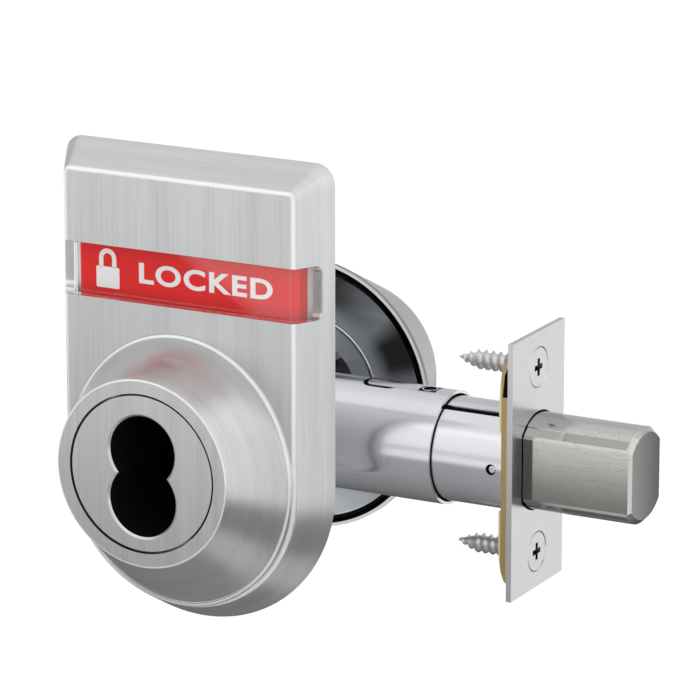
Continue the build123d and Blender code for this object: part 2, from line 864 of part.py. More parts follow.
def case_plate(y):
    """Case plate whose inner face towards the inside of the door is at y."""
    with BuildPart() as plate:
        with BuildSketch(at_y(y)):
            with Locations(((sleeve_rear - body_gap - case_rear) / 2, 0)):
                RectangleRounded(sleeve_rear - body_gap + case_rear, 2 * case_half_height, case_corner)
            with Locations((case_front / 2, 0)):
                Rectangle(case_front, 2 * case_front_half_height)
            Circle(hub_journal_radius + running_fit, mode=Mode.SUBTRACT)
            with Locations(*rivet_places):
                Circle(rivet_radius + spindle_fit, mode=Mode.SUBTRACT)
        extrude(amount=case_thickness)
    return plate.part


case_outside = case_plate(-case_inner)
case_outside.label = "case_plate_outside"
export_step(case_outside, "parts/case_plate_outside.step")
case_inside = case_plate(case_outer)
case_inside.label = "case_plate_inside"
export_step(case_inside, "parts/case_plate_inside.step")

with BuildPart() as case_rivets:
    with BuildSketch(at_y(case_outer)):
        with Locations(*rivet_places):
            Circle(rivet_radius)
    extrude(amount=2 * case_outer)
    for head_back in (case_outer + rivet_head_height, -case_outer):
        with BuildSketch(at_y(head_back)):
            with Locations(*rivet_places):
                Circle(rivet_head_radius)
        extrude(amount=rivet_head_height)
case_rivets.part.label = "case_rivets"
export_step(case_rivets.part, "parts/case_rivets.step")

# Leaf spring under the hub, which holds it at each end of its turn
spring_top = -rivet_drop + rivet_radius + spring_thickness
with BuildPart() as detent_spring:
    with BuildSketch(Plane.XY.offset(spring_top)):
        Rectangle(2 * spring_half_length, 2 * spring_half_width)
    extrude(amount=-spring_thickness)
detent_spring.part.label = "detent_spring"
export_step(detent_spring.part, "parts/detent_spring.step")

# Bolt: round, with a flat on each side, a slightly raised crown above and below, and a bevelled end
bolt_end = backset + throw
with BuildPart() as bolt_sides:
    with BuildSketch(at_x(bolt_tail)):
        Circle(bolt_radius - bolt_crown_step)
        Rectangle(2 * bolt_half_thickness, 4 * bolt_radius, mode=Mode.INTERSECT)
    extrude(amount=bolt_end - bolt_tail)
    chamfer(bolt_sides.edges().filter_by(Axis.X), bolt_flat_chamfer)
    with BuildSketch(Plane.XY) as bolt_plan:
        with Locations(((bolt_tail + bolt_end) / 2, 0)):
            Rectangle(bolt_end - bolt_tail, 2 * bolt_half_thickness)
        chamfer(bolt_plan.vertices().group_by(Axis.X)[-1], bolt_side_chamfer)
    extrude(amount=bolt_radius, both=True, mode=Mode.INTERSECT)
    with BuildSketch(at_x(bolt_tail)):
        Rectangle(2 * bolt_crown_half_width, 4 * bolt_radius)
    extrude(amount=bolt_end - bolt_tail, mode=Mode.SUBTRACT)

with BuildPart() as bolt_round:
    with BuildSketch(at_x(bolt_tail)):
        Circle(bolt_radius)
    extrude(amount=bolt_end - bolt_tail)
    chamfer(bolt_round.faces().sort_by(Axis.X)[-1].edges(), bolt_end_chamfer)

with BuildPart() as deadbolt:
    with BuildSketch(at_x(bolt_tail)):
        Circle(bolt_radius)
        Rectangle(2 * bolt_crown_half_width, 4 * bolt_radius, mode=Mode.INTERSECT)
    extrude(amount=bolt_end - bolt_tail)
    add(bolt_sides.part)
    add(bolt_round.part, mode=Mode.INTERSECT)
    with BuildSketch(at_x(bolt_tail)):
        Rectangle(2 * (bar_half_thickness + sliding_gap), 4 * bolt_radius)
    extrude(amount=bolt_slot_depth, mode=Mode.SUBTRACT)
    with BuildSketch(at_x(bolt_tail + bolt_slot_depth)):
        Circle(saw_pin_radius + running_fit)
    extrude(amount=throw + backset - bolt_tail - bolt_slot_depth - saw_pin_end_wall, mode=Mode.SUBTRACT)
    with BuildSketch(Plane.XZ):
        with Locations((bolt_tail + bolt_slot_depth / 2, 0)):
            Circle(bar_pin_radius + spindle_fit)
    extrude(amount=bolt_radius, both=True, mode=Mode.SUBTRACT)
deadbolt.part.label = "deadbolt"
export_step(deadbolt.part, "parts/deadbolt.step")

# Hardened pin that turns freely inside the bolt, against sawing
saw_pin_start = bolt_tail + bolt_slot_depth + saw_pin_end_gap
saw_pin_end = bolt_end - saw_pin_end_wall - saw_pin_end_gap
with BuildPart() as saw_pin:
    with BuildSketch(at_x(saw_pin_start)):
        Circle(saw_pin_radius)
    extrude(amount=saw_pin_end - saw_pin_start)
    chamfer(saw_pin.edges().filter_by(GeomType.CIRCLE), saw_pin_chamfer)
saw_pin.part.label = "saw_pin"
export_step(saw_pin.part, "parts/saw_pin.step")

# Bolt bar: a plate from the bolt, over the hub, to an open fork round the crank pin
fork_half_gap = crank_pin_radius + fork_side_gap
fork_half_width = fork_half_gap + fork_prong
bar_front = bolt_tail + bar_front_length - sliding_gap
bar_step = hub_radius + throw + body_gap
with BuildPart() as bolt_bar:
    with BuildSketch(at_y(bar_half_thickness)):
        with BuildLine():
            Polyline(
                (crank_start - fork_half_width, bar_strip_low),
                (bar_step, bar_strip_low),
                (bar_step + bar_step_length, -bar_front_drop),
                (bar_front, -bar_front_drop),
                (bar_front, bar_strip_high),
                (crank_start + fork_half_width, bar_strip_high),
                (crank_start + fork_half_width, fork_top),
                (crank_start + fork_half_gap, fork_top),
                (crank_start + fork_half_gap, fork_slot_low),
                (crank_start - fork_half_gap, fork_slot_low),
                (crank_start - fork_half_gap, fork_top),
                (crank_start - fork_half_width, fork_top),
                close=True,
            )
        make_face()
        with Locations((bolt_tail + bolt_slot_depth / 2, 0)):
            Circle(bar_pin_radius + spindle_fit, mode=Mode.SUBTRACT)
    extrude(amount=2 * bar_half_thickness)
bolt_bar.part.label = "bolt_bar"
export_step(bolt_bar.part, "parts/bolt_bar.step")

# Cross pin that joins the bar to the bolt
with BuildPart() as bar_pin:
    with BuildSketch(Plane.XZ):
        with Locations((bolt_tail + bolt_slot_depth / 2, 0)):
            Circle(bar_pin_radius)
    extrude(amount=bolt_half_thickness - sliding_gap, both=True)
bar_pin.part.label = "bar_pin"
export_step(bar_pin.part, "parts/bar_pin.step")

# Inner tube: rolled, with an open seam, and staked to the backing plate
with BuildPart() as inner_tube:
    with BuildSketch(at_x(tube_rear)):
        Circle(tube_outer)
        Circle(tube_inner, mode=Mode.SUBTRACT)
    extrude(amount=face_back - tube_rear)
    with BuildSketch(at_x(seam_start)):
        seam_place = (
            -tube_outer * cos(radians(seam_angle)),
            tube_outer * sin(radians(seam_angle)),
        )
        with Locations(seam_place):
            Rectangle(4 * tube_wall, seam_width, rotation=-seam_angle)
    extrude(amount=face_back - seam_start, mode=Mode.SUBTRACT)
    with BuildSketch(Plane.XZ):
        with Locations((stake_place - stake_hole_shift, 0)):
            Circle(stake_radius + stake_hole_gap)
    extrude(amount=2 * tube_outer, mode=Mode.SUBTRACT)
inner_tube.part.label = "inner_tube"
export_step(inner_tube.part, "parts/inner_tube.step")

# Stake in the side of the inner tube
with BuildPart() as tube_stake:
    with BuildSketch(at_y(-tube_inner - running_fit)):
        with Locations((stake_place, 0)):
            Circle(stake_radius)
    extrude(amount=tube_wall - stake_sink)
    fillet(tube_stake.edges().sort_by(Axis.Y)[0], stake_round)
tube_stake.part.label = "tube_stake"
export_step(tube_stake.part, "parts/tube_stake.step")

# Outer sleeve: a latch tongue and a square hole on top, for the backset
latch_middle = (latch_slot_start + latch_slot_end) / 2
latch_length = latch_slot_end - latch_slot_start
latch_tongue_width = 2 * (latch_slot_half_width - latch_tongue_side_gap)
latch_tongue_corner = latch_corner - latch_tongue_side_gap
button_hole_size = 2 * (button_radius + button_slot_gap)
with BuildPart() as outer_sleeve:
    with BuildSketch(at_x(sleeve_rear)):
        Circle(sleeve_outer)
        Circle(sleeve_inner, mode=Mode.SUBTRACT)
    extrude(amount=sleeve_front - sleeve_rear)
    with BuildSketch(Plane.XY) as latch_cut:
        with Locations((latch_middle, 0)):
            RectangleRounded(latch_length, 2 * latch_slot_half_width, latch_corner)
        with Locations((latch_middle + latch_tongue_gap, 0)):
            RectangleRounded(latch_length, latch_tongue_width, latch_tongue_corner, mode=Mode.SUBTRACT)
        with Locations((button_place, 0)):
            Rectangle(button_hole_size, button_hole_size)
    extrude(amount=sleeve_outer, mode=Mode.SUBTRACT)
outer_sleeve.part.label = "outer_sleeve"
export_step(outer_sleeve.part, "parts/outer_sleeve.step")

# Backset button on the inner tube, standing in the sleeve's slot
with BuildPart() as backset_button:
    with BuildSketch(Plane.XY.offset(tube_outer)):
        with Locations((button_place, 0)):
            Circle(button_radius)
    extrude(amount=sleeve_outer - tube_outer)
    with BuildSketch(Plane.XY.offset(sleeve_outer)):
        with Locations((button_place, 0)):
            Circle(button_dimple)
    extrude(amount=-sleeve_wall / 2, mode=Mode.SUBTRACT)
backset_button.part.label = "backset_button"
export_step(backset_button.part, "parts/backset_button.step")

# Backing plate: a pressed tray behind the faceplate, deeper at the two screws
backing_end_height = backing_half_height - backing_pad_outer
half_profile = [
    (backing_back + backing_relief, backing_pad_inner),
    (backing_back, backing_pad_inner),
]
for step in range(backing_end_steps + 1):
    turn = radians(90 * step / backing_end_steps)
    half_profile.append(
        (face_back - backing_depth * cos(turn), backing_pad_outer + backing_end_height * sin(turn))
    )
tray_profile = half_profile + [(x, -z) for x, z in reversed(half_profile)]


def tray_outline(y, inset):
    """Side outline of the backing tray at y, drawn in by inset."""
    with BuildSketch(at_y(y)) as outline:
        with BuildLine():
            Polyline(*tray_profile, close=True)
        make_face()
        if inset:
            offset(amount=-inset)
    return outline.sketch


with BuildPart() as backing_plate:
    extrude(tray_outline(backing_half_width, 0), amount=2 * backing_half_width, dir=(0, -1, 0))
    with BuildSketch(at_x(backing_back)):
        Circle(tube_outer + spindle_fit)
        with Locations((0, screw_spread), (0, -screw_spread)):
            Circle(backing_screw_clearance)
    extrude(amount=2 * backing_depth, mode=Mode.SUBTRACT)
    with BuildSketch(at_y(-backing_half_width + backing_wall)):
        with BuildLine():
            Polyline(
                (face_back, backing_notch_low),
                (face_back - backing_notch_depth, backing_notch_low),
                (face_back - backing_notch_upper_depth, backing_notch_middle),
                (face_back, backing_notch_high),
                close=True,
            )
        make_face()
    extrude(amount=2 * backing_wall, mode=Mode.SUBTRACT)
backing_plate.part.label = "backing_plate"
export_step(backing_plate.part, "parts/backing_plate.step")

# Faceplate: flat, with the bolt's hole and two countersunk screw holes
sink_slope = sin(radians(screw_sink_angle)) / cos(radians(screw_sink_angle))
sink_front_radius = screw_head_radius + screw_head_gap
screw_places = [(0, screw_spread), (0, -screw_spread)]
with BuildPart() as faceplate:
    with BuildSketch(at_x(face_back)):
        Rectangle(face_width, face_height)
    extrude(amount=face_thickness)
    with BuildSketch(at_x(face_back)):
        bolt_section(face_hole_gap)
    extrude(amount=face_thickness, mode=Mode.SUBTRACT)
    for place in screw_places:
        with BuildSketch(at_x(face_back)):
            with Locations(place):
                Circle(sink_front_radius - face_thickness * sink_slope)
        with BuildSketch(at_x(backset)):
            with Locations(place):
                Circle(sink_front_radius)
        loft(mode=Mode.SUBTRACT)
faceplate.part.label = "faceplate"
export_step(faceplate.part, "parts/faceplate.step")

# Wood screws: flat head, shank, threaded stretch at its outer radius, and a sharp tip
screw_tip = backset - screw_length
screw_head_back = backset - (screw_head_radius - screw_shank_radius) / sink_slope
screw_thread_end = screw_head_back - screw_neck_length
with BuildPart() as faceplate_screws:
    for place in screw_places:
        height = place[1]
        with BuildSketch(Plane.XZ):
            with BuildLine():
                Polyline(
                    (screw_tip, height),
                    (screw_tip + screw_tip_length, height + screw_thread_radius),
                    (screw_thread_end, height + screw_thread_radius),
                    (screw_thread_end, height + screw_shank_radius),
                    (screw_head_back, height + screw_shank_radius),
                    (backset, height + screw_head_radius),
                    (backset, height),
                    close=True,
                )
            make_face()
        revolve(axis=Axis((0, 0, height), (1, 0, 0)))
faceplate_screws.part.label = "faceplate_screws"
export_step(faceplate_screws.part, "parts/faceplate_screws.step")
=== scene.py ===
import bpy, bmesh, math
from mathutils import Matrix, Vector


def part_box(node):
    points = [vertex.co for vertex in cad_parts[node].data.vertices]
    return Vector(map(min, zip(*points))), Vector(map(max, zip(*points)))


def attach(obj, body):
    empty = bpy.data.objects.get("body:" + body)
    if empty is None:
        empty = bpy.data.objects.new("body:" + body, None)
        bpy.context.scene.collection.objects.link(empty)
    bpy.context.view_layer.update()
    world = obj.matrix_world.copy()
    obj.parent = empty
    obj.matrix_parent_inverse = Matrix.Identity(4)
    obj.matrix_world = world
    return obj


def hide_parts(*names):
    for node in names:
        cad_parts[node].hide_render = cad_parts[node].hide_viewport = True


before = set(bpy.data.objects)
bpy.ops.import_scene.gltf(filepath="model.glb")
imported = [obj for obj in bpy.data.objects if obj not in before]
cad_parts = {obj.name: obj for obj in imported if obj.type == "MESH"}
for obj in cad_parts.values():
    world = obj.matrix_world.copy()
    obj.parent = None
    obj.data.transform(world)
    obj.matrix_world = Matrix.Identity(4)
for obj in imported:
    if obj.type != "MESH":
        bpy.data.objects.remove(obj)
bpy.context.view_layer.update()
print("frame loaded:", len(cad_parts), "nodes")

mm = 0.001


# Small helpers for node trees

nodeGrid = {"left": -2600, "top": 700, "across": 220, "down": 280, "rows": 6, "groupEnd": -1600}
mixSockets = {"RGBA": (6, 7, 2), "VECTOR": (4, 5, 1), "FLOAT": (2, 3, 0)}


def addNode(tree, kind, **settings):
    # nodes fill the columns of a grid in the order in which they are made
    column, row = divmod(len(tree.nodes), nodeGrid["rows"])
    node = tree.nodes.new(kind)
    node.location = (nodeGrid["left"] + column * nodeGrid["across"], nodeGrid["top"] - row * nodeGrid["down"])
    for name, value in settings.items():
        setattr(node, name, value)
    return node


def feed(tree, node, values):
    # numbers and colours are set on the socket itself, outputs of other nodes are linked to it
    for label, value in values.items():
        socket = node.inputs[label]
        if isinstance(value, tuple) and socket.type == "RGBA":
            socket.default_value = (*value, 1.0)
        elif isinstance(value, (int, float, tuple)):
            socket.default_value = value
        else:
            tree.links.new(value, socket)


def nodeOutput(tree, kind, inputs, output=0, **settings):
    node = addNode(tree, kind, **settings)
    feed(tree, node, inputs)
    return node.outputs[output]


def mathNode(tree, operation, *values, clamp=False):
    return nodeOutput(tree, "ShaderNodeMath", dict(enumerate(values)), operation=operation, use_clamp=clamp)


def above(tree, value, limit):
    return mathNode(tree, "GREATER_THAN", value, limit)


def below(tree, value, limit):
    return mathNode(tree, "LESS_THAN", value, limit)


def times(tree, first, second):
    return mathNode(tree, "MULTIPLY", first, second)


def minus(tree, whole, part):
    return mathNode(tree, "SUBTRACT", whole, part)


def larger(tree, first, second):
    return mathNode(tree, "MAXIMUM", first, second)


def unsigned(tree, value):
    return mathNode(tree, "ABSOLUTE", value)


def weighted(tree, first, share, second):
    return mathNode(tree, "MULTIPLY_ADD", first, share, times(tree, second, 1.0 - share))


def mapRange(tree, value, start, end, low=0.0, high=1.0, interpolation="SMOOTHSTEP"):
    ends = {"From Min": start, "From Max": end, "To Min": low, "To Max": high}
    return nodeOutput(tree, "ShaderNodeMapRange", {"Value": value, **ends}, interpolation_type=interpolation)


def valueRange(tree, factor, low, high):
    return mapRange(tree, factor, 0.0, 1.0, low, high, "LINEAR")


def mixNode(tree, factor, first, second, kind="RGBA"):
    firstSocket, secondSocket, output = mixSockets[kind]
    return nodeOutput(tree, "ShaderNodeMix", {0: factor, firstSocket: first, secondSocket: second}, output,
                      data_type=kind)


def vectorMath(tree, operation, first, second, output=0):
    return nodeOutput(tree, "ShaderNodeVectorMath", {0: first, 1: second}, output, operation=operation)


def scaledVector(tree, vector, factor):
    return nodeOutput(tree, "ShaderNodeVectorMath", {0: vector, "Scale": factor}, operation="SCALE")


def split(tree, vector):
    node = addNode(tree, "ShaderNodeSeparateXYZ")
    feed(tree, node, {0: vector})
    return node.outputs[0], node.outputs[1], node.outputs[2]


def surfaceNormal(tree, kind):
    return addNode(tree, "ShaderNodeNewGeometry").outputs[kind]


def noise(tree, place, scale, detail, roughness=0.5):
    return nodeOutput(tree, "ShaderNodeTexNoise",
                      {"Vector": place, "Scale": scale, "Detail": detail, "Roughness": roughness})


def mixShaders(tree, factor, first, second):
    surface = nodeOutput(tree, "ShaderNodeMixShader", {0: factor, 1: first, 2: second})
    feed(tree, tree.nodes["Material Output"], {"Surface": surface})


def newGroup(name, inputs, outputs):
    # every socket is a number, apart from Place, which is a vector
    group = bpy.data.node_groups.new(name, "ShaderNodeTree")
    kinds = {label: "NodeSocketFloat" for label in (*inputs, *outputs)}
    kinds["Place"] = "NodeSocketVector"
    for label, value in inputs.items():
        socket = group.interface.new_socket(name=label, in_out="INPUT", socket_type=kinds[label])
        if value is not None:
            socket.default_value = value
    for label in outputs:
        group.interface.new_socket(name=label, in_out="OUTPUT", socket_type=kinds[label])
    start = addNode(group, "NodeGroupInput")
    end = addNode(group, "NodeGroupOutput")
    end.location.x = nodeGrid["groupEnd"]
    return group, start.outputs, end


def useGroup(tree, group, **values):
    node = addNode(tree, "ShaderNodeGroup", node_tree=group)
    feed(tree, node, values)
    return node.outputs


# Shader groups shared by the materials

def makeBrushedLines():
    # fine lines that run along the direction in which the coordinate changes slowly
    group, given, end = newGroup(
        "brushedLines", {"Place": None, "Fine": 900.0, "Broad": 120.0, "Contrast": 0.5}, ("Lines", "Bands"))
    fine = noise(group, given["Place"], given["Fine"], 3.0, 0.65)
    broad = noise(group, given["Place"], given["Broad"], 2.0)
    lines = mathNode(group, "MULTIPLY_ADD", minus(group, fine, 0.5), given["Contrast"], 0.5, clamp=True)
    feed(group, end, {"Lines": lines, "Bands": broad})
    return group


def makeRoundPlace():
    # coordinate for lines that run round an axis: distance from it, place along it, and a slow angle
    group, given, end = newGroup(
        "roundPlace", {"Across": 0.0, "Up": 0.0, "Along": 0.0, "Turn": 0.002}, ("Place", "Radius", "Angle"))
    square = times(group, given["Across"], given["Across"])
    radius = mathNode(group, "SQRT", mathNode(group, "MULTIPLY_ADD", given["Up"], given["Up"], square))
    angle = mathNode(group, "ARCTAN2", given["Up"], given["Across"])
    slow = times(group, angle, given["Turn"])
    joined = nodeOutput(group, "ShaderNodeCombineXYZ", {0: radius, 1: given["Along"], 2: slow})
    feed(group, end, {"Place": joined, "Radius": radius, "Angle": angle})
    return group


def makeMetalWear():
    # handling marks: soft smudges in the gloss, and a few fine specks
    speckSize, speckRarity = 0.22, 0.82
    group, given, end = newGroup(
        "metalWear", {"Place": None, "Smudge": 60.0, "Speck": 1200.0}, ("Smudges", "Specks", "Grain"))
    cloud = noise(group, given["Place"], given["Smudge"], 4.0)
    grain = noise(group, given["Place"], given["Speck"], 2.0)
    cells = addNode(group, "ShaderNodeTexVoronoi", feature="F1")
    feed(group, cells, {"Vector": given["Place"], "Scale": given["Speck"]})
    near = below(group, cells.outputs["Distance"], speckSize)
    chosen = nodeOutput(group, "ShaderNodeSeparateColor", {0: cells.outputs["Color"]})
    specks = times(group, near, above(group, chosen, speckRarity))
    feed(group, end, {"Smudges": cloud, "Specks": specks, "Grain": grain})
    return group


brushedLines = makeBrushedLines()
roundPlace = makeRoundPlace()
metalWear = makeMetalWear()

slowTurn = 0.0006
dullSpecular = 0.05


def roundAbout(tree, across, up, along):
    return useGroup(tree, roundPlace, Across=across, Up=up, Along=along, Turn=slowTurn)


def newMaterial(name):
    material = bpy.data.materials.new(name)
    material.use_nodes = True
    tree = material.node_tree
    coordinates = addNode(tree, "ShaderNodeTexCoord")
    return material, tree, tree.nodes["Principled BSDF"], coordinates.outputs["Object"]


def bumpInto(tree, shader, height, strength, distance):
    normal = nodeOutput(tree, "ShaderNodeBump", {"Strength": strength, "Distance": distance, "Height": height})
    feed(tree, shader, {"Normal": normal})


# Satin trims: straight lines on the faces, lines round the sides

satin = {"dark": (0.45, 0.455, 0.46), "light": (0.76, 0.765, 0.77), "rough": (0.26, 0.38),
         "bump": 0.10, "depth": 0.02 * mm, "faceLines": (1.0, 0.05, 0.012), "sideLines": (0.02, 1.0, 0.012),
         "faceFrom": 0.9, "edgeFrom": 0.66, "edgeFull": 0.78, "edgeFade": 0.96, "edgeEnd": 0.995,
         "edge": (0.86, 0.86, 0.865), "edgeHighlightSheen": 0.45, "back": (0.80, 0.80, 0.81), "backSheen": 0.75,
         "socketShade": (0.008, 0.008, 0.009), "socketRadius": 14.4 * mm, "socketFront": -48.5 * mm,
         "socketBack": -17.0 * mm}


def socketShadeMask(tree, x, y, z):
    # painted shade in the bore of the core socket, from just behind its chamfer to its floor
    near = below(tree, roundAbout(tree, x, z, y)["Radius"], satin["socketRadius"])
    deep = above(tree, y, satin["socketFront"])
    short = below(tree, y, satin["socketBack"])
    return times(tree, near, times(tree, deep, short))


def edgeHighlightMask(tree, facing):
    # painted highlight: the rounded edges between a face and its sides get a pale colour
    rising = mapRange(tree, facing, satin["edgeFrom"], satin["edgeFull"])
    falling = mapRange(tree, facing, satin["edgeEnd"], satin["edgeFade"])
    return times(tree, rising, falling)


def satinTrim(name, roundSides, shadedSocket=False):
    s = satin
    material, tree, shader, place = newMaterial(name)
    x, y, z = split(tree, place)
    facePlace = vectorMath(tree, "MULTIPLY", place, s["faceLines"])
    if roundSides:
        sidePlace = roundAbout(tree, x, z, y)["Place"]
    else:
        sidePlace = vectorMath(tree, "MULTIPLY", place, s["sideLines"])
    normalY = split(tree, surfaceNormal(tree, "Normal"))[1]
    facing = unsigned(tree, normalY)
    linePlace = mixNode(tree, above(tree, facing, s["faceFrom"]), sidePlace, facePlace, "VECTOR")
    lines = useGroup(tree, brushedLines, Place=linePlace, Fine=2600.0, Broad=260.0, Contrast=1.3)
    wear = useGroup(tree, metalWear, Place=place, Smudge=35.0, Speck=900.0)
    body = mixNode(tree, weighted(tree, lines["Bands"], 0.5, lines["Lines"]), s["dark"], s["light"])
    isBack = above(tree, normalY, s["faceFrom"])
    edge = edgeHighlightMask(tree, facing)
    body = mixNode(tree, isBack, body, s["back"])
    # painted highlight on the rounded edges
    body = mixNode(tree, edge, body, s["edge"])
    # soft sheen instead of a mirror on the edges with the painted highlight and on the cast back
    soft = larger(tree, times(tree, edge, s["edgeHighlightSheen"]), times(tree, isBack, s["backSheen"]))
    if shadedSocket:
        # painted shade: the socket bore turns nearly black and not metal
        socket = socketShadeMask(tree, x, y, z)
        body = mixNode(tree, socket, body, s["socketShade"])
        soft = larger(tree, soft, socket)
    rough = weighted(tree, wear["Smudges"], 0.4, lines["Lines"])
    feed(tree, shader, {"Base Color": body, "Roughness": valueRange(tree, rough, *s["rough"]),
                        "Metallic": minus(tree, 1.0, soft), "Specular IOR Level": dullSpecular,
                        "Anisotropic": 0.45})
    bumpInto(tree, shader, lines["Lines"], s["bump"], s["depth"])
    return material


# Bright zinc on the two tubes, the stake and the button, with painted shade in the hollows of the tubes and the
# button

brightZinc = {"dark": (0.64, 0.65, 0.68), "light": (0.73, 0.74, 0.77), "rough": (0.16, 0.23),
              "bump": 0.04, "depth": 0.05 * mm, "inside": (0.010, 0.010, 0.011), "drawn": (0.02, 1.0, 1.0),
              "tubeBore": 11.2 * mm, "coveredTo": 50.1 * mm, "sleeveBore": 11.9 * mm,
              "buttonCentre": 43.9 * mm, "buttonRadius": 1.52 * mm, "buttonTop": 12.42 * mm}


def innerTubeShadeMask(tree, x, y, z):
    # painted shade: inside of the rolled tube, and the stretch that the sleeve covers, reaching a little past the
    # sleeve's end as a dark line
    inner = below(tree, roundAbout(tree, y, z, x)["Radius"], brightZinc["tubeBore"])
    return larger(tree, inner, below(tree, x, brightZinc["coveredTo"]))


def sleeveShadeMask(tree, x, y, z):
    # painted shade inside the sleeve
    return below(tree, roundAbout(tree, y, z, x)["Radius"], brightZinc["sleeveBore"])


def buttonShadeMask(tree, x, y, z):
    # painted shade in the sunk middle of the button
    across = minus(tree, x, brightZinc["buttonCentre"])
    inner = below(tree, roundAbout(tree, across, y, z)["Radius"], brightZinc["buttonRadius"])
    return times(tree, inner, below(tree, z, brightZinc["buttonTop"]))


def brightTube(name, shadeMask=None):
    s = brightZinc
    material, tree, shader, place = newMaterial(name)
    drawn = useGroup(tree, brushedLines, Place=vectorMath(tree, "MULTIPLY", place, s["drawn"]),
                     Fine=700.0, Broad=60.0, Contrast=1.0)
    wear = useGroup(tree, metalWear, Place=place, Smudge=90.0, Speck=1500.0)
    body = mixNode(tree, wear["Smudges"], s["dark"], s["light"])
    rough = weighted(tree, wear["Smudges"], 0.6, drawn["Lines"])
    feed(tree, shader, {"Roughness": valueRange(tree, rough, *s["rough"]), "Metallic": 1.0})
    if shadeMask:
        # painted shade: the masked hollows are nearly black and not metal
        paintedShade = shadeMask(tree, *split(tree, place))
        body = mixNode(tree, paintedShade, body, s["inside"])
        feed(tree, shader, {"Metallic": minus(tree, 1.0, paintedShade), "Specular IOR Level": dullSpecular})
    feed(tree, shader, {"Base Color": body})
    bumpInto(tree, shader, drawn["Bands"], s["bump"], s["depth"])
    return material


# Grained bolt, satin faceplate and the plain steels share one recipe

boltShade = {"near": (0.20, 0.198, 0.194), "far": (0.038, 0.037, 0.036), "reach": 7.0 * mm,
             "padStart": 72.25 * mm, "padHigh": 8.0 * mm, "padLitTop": (1.40, 1.40, 1.37),
             "padShadedLow": (0.55, 0.55, 0.54), "strip": (0.16, 0.157, 0.15), "flatFrom": 0.95,
             "bandShade": (0.36, 0.355, 0.345), "bandInner": 5.72 * mm, "bandSteep": 0.62,
             "bandStart": 79.0 * mm, "bandEnd": 94.0 * mm}

crossRecess = {"deep": 68.0 * mm, "shallow": 69.72 * mm, "radius": 2.4 * mm, "spread": 20.6375 * mm,
               "dark": (0.06, 0.06, 0.06)}

grain = {"depth": 0.03 * mm, "speckShade": 0.45}


def recessShades(tree, place, body):
    # painted shade: the floor of a screw's cross recess is darkened
    s = crossRecess
    x, y, z = split(tree, place)
    offset = minus(tree, unsigned(tree, z), s["spread"])
    near = below(tree, roundAbout(tree, y, offset, x)["Radius"], s["radius"])
    between = times(tree, above(tree, x, s["deep"]), below(tree, x, s["shallow"]))
    return mixNode(tree, times(tree, near, between), body, s["dark"])


def boltShades(tree, place, body):
    s = boltShade
    x, y, z = split(tree, place)
    normalX, normalY, normalZ = split(tree, surfaceNormal(tree, "True Normal"))
    # painted shade: a darker band along each steep curve of the bolt near its end
    outside = above(tree, unsigned(tree, y), s["bandInner"])
    upright = above(tree, unsigned(tree, normalZ), s["bandSteep"])
    isLong = times(tree, above(tree, x, s["bandStart"]), below(tree, x, s["bandEnd"]))
    body = mixNode(tree, times(tree, times(tree, outside, upright), isLong), body, s["bandShade"])
    # painted reflection: the flat sides are lighter at the top and darker towards the bottom
    shade = mixNode(tree, mapRange(tree, z, -s["padHigh"], s["padHigh"]), s["padShadedLow"], s["padLitTop"])
    flatSide = above(tree, unsigned(tree, normalY), s["flatFrom"])
    isPad = times(tree, flatSide, above(tree, x, s["padStart"]))
    body = mixNode(tree, isPad, body, vectorMath(tree, "MULTIPLY", body, shade))
    # painted reflection of the faceplate: the flat sides are dark short of the pad
    body = mixNode(tree, minus(tree, flatSide, isPad), body, s["strip"])
    # painted light and shade: the end face is lighter on its near side and darker on its far side
    across = mapRange(tree, y, -s["reach"], s["reach"], interpolation="LINEAR")
    end = mixNode(tree, across, s["near"], s["far"])
    return mixNode(tree, above(tree, normalX, s["flatFrom"]), body, end)


def grainedMetal(name, dark, light, rough, direction=(1.0, 1.0, 1.0), bump=0.05, specks=0.0,
                 speckScale=1100.0, shades=None, metal=1.0):
    material, tree, shader, place = newMaterial(name)
    lines = useGroup(tree, brushedLines, Place=vectorMath(tree, "MULTIPLY", place, direction),
                     Fine=1900.0, Broad=160.0, Contrast=1.1)
    wear = useGroup(tree, metalWear, Place=place, Smudge=70.0, Speck=speckScale)
    blend = weighted(tree, lines["Lines"], 0.45, wear["Smudges"])
    body = mixNode(tree, times(tree, wear["Specks"], specks), mixNode(tree, blend, dark, light),
                   tuple(grain["speckShade"] * value for value in dark))
    if shades:
        body = shades(tree, place, body)
    feed(tree, shader, {"Base Color": body, "Roughness": valueRange(tree, blend, *rough), "Metallic": metal})
    height = mathNode(tree, "MULTIPLY_ADD", wear["Specks"], -specks, lines["Lines"])
    bumpInto(tree, shader, height, bump, grain["depth"])
    return material


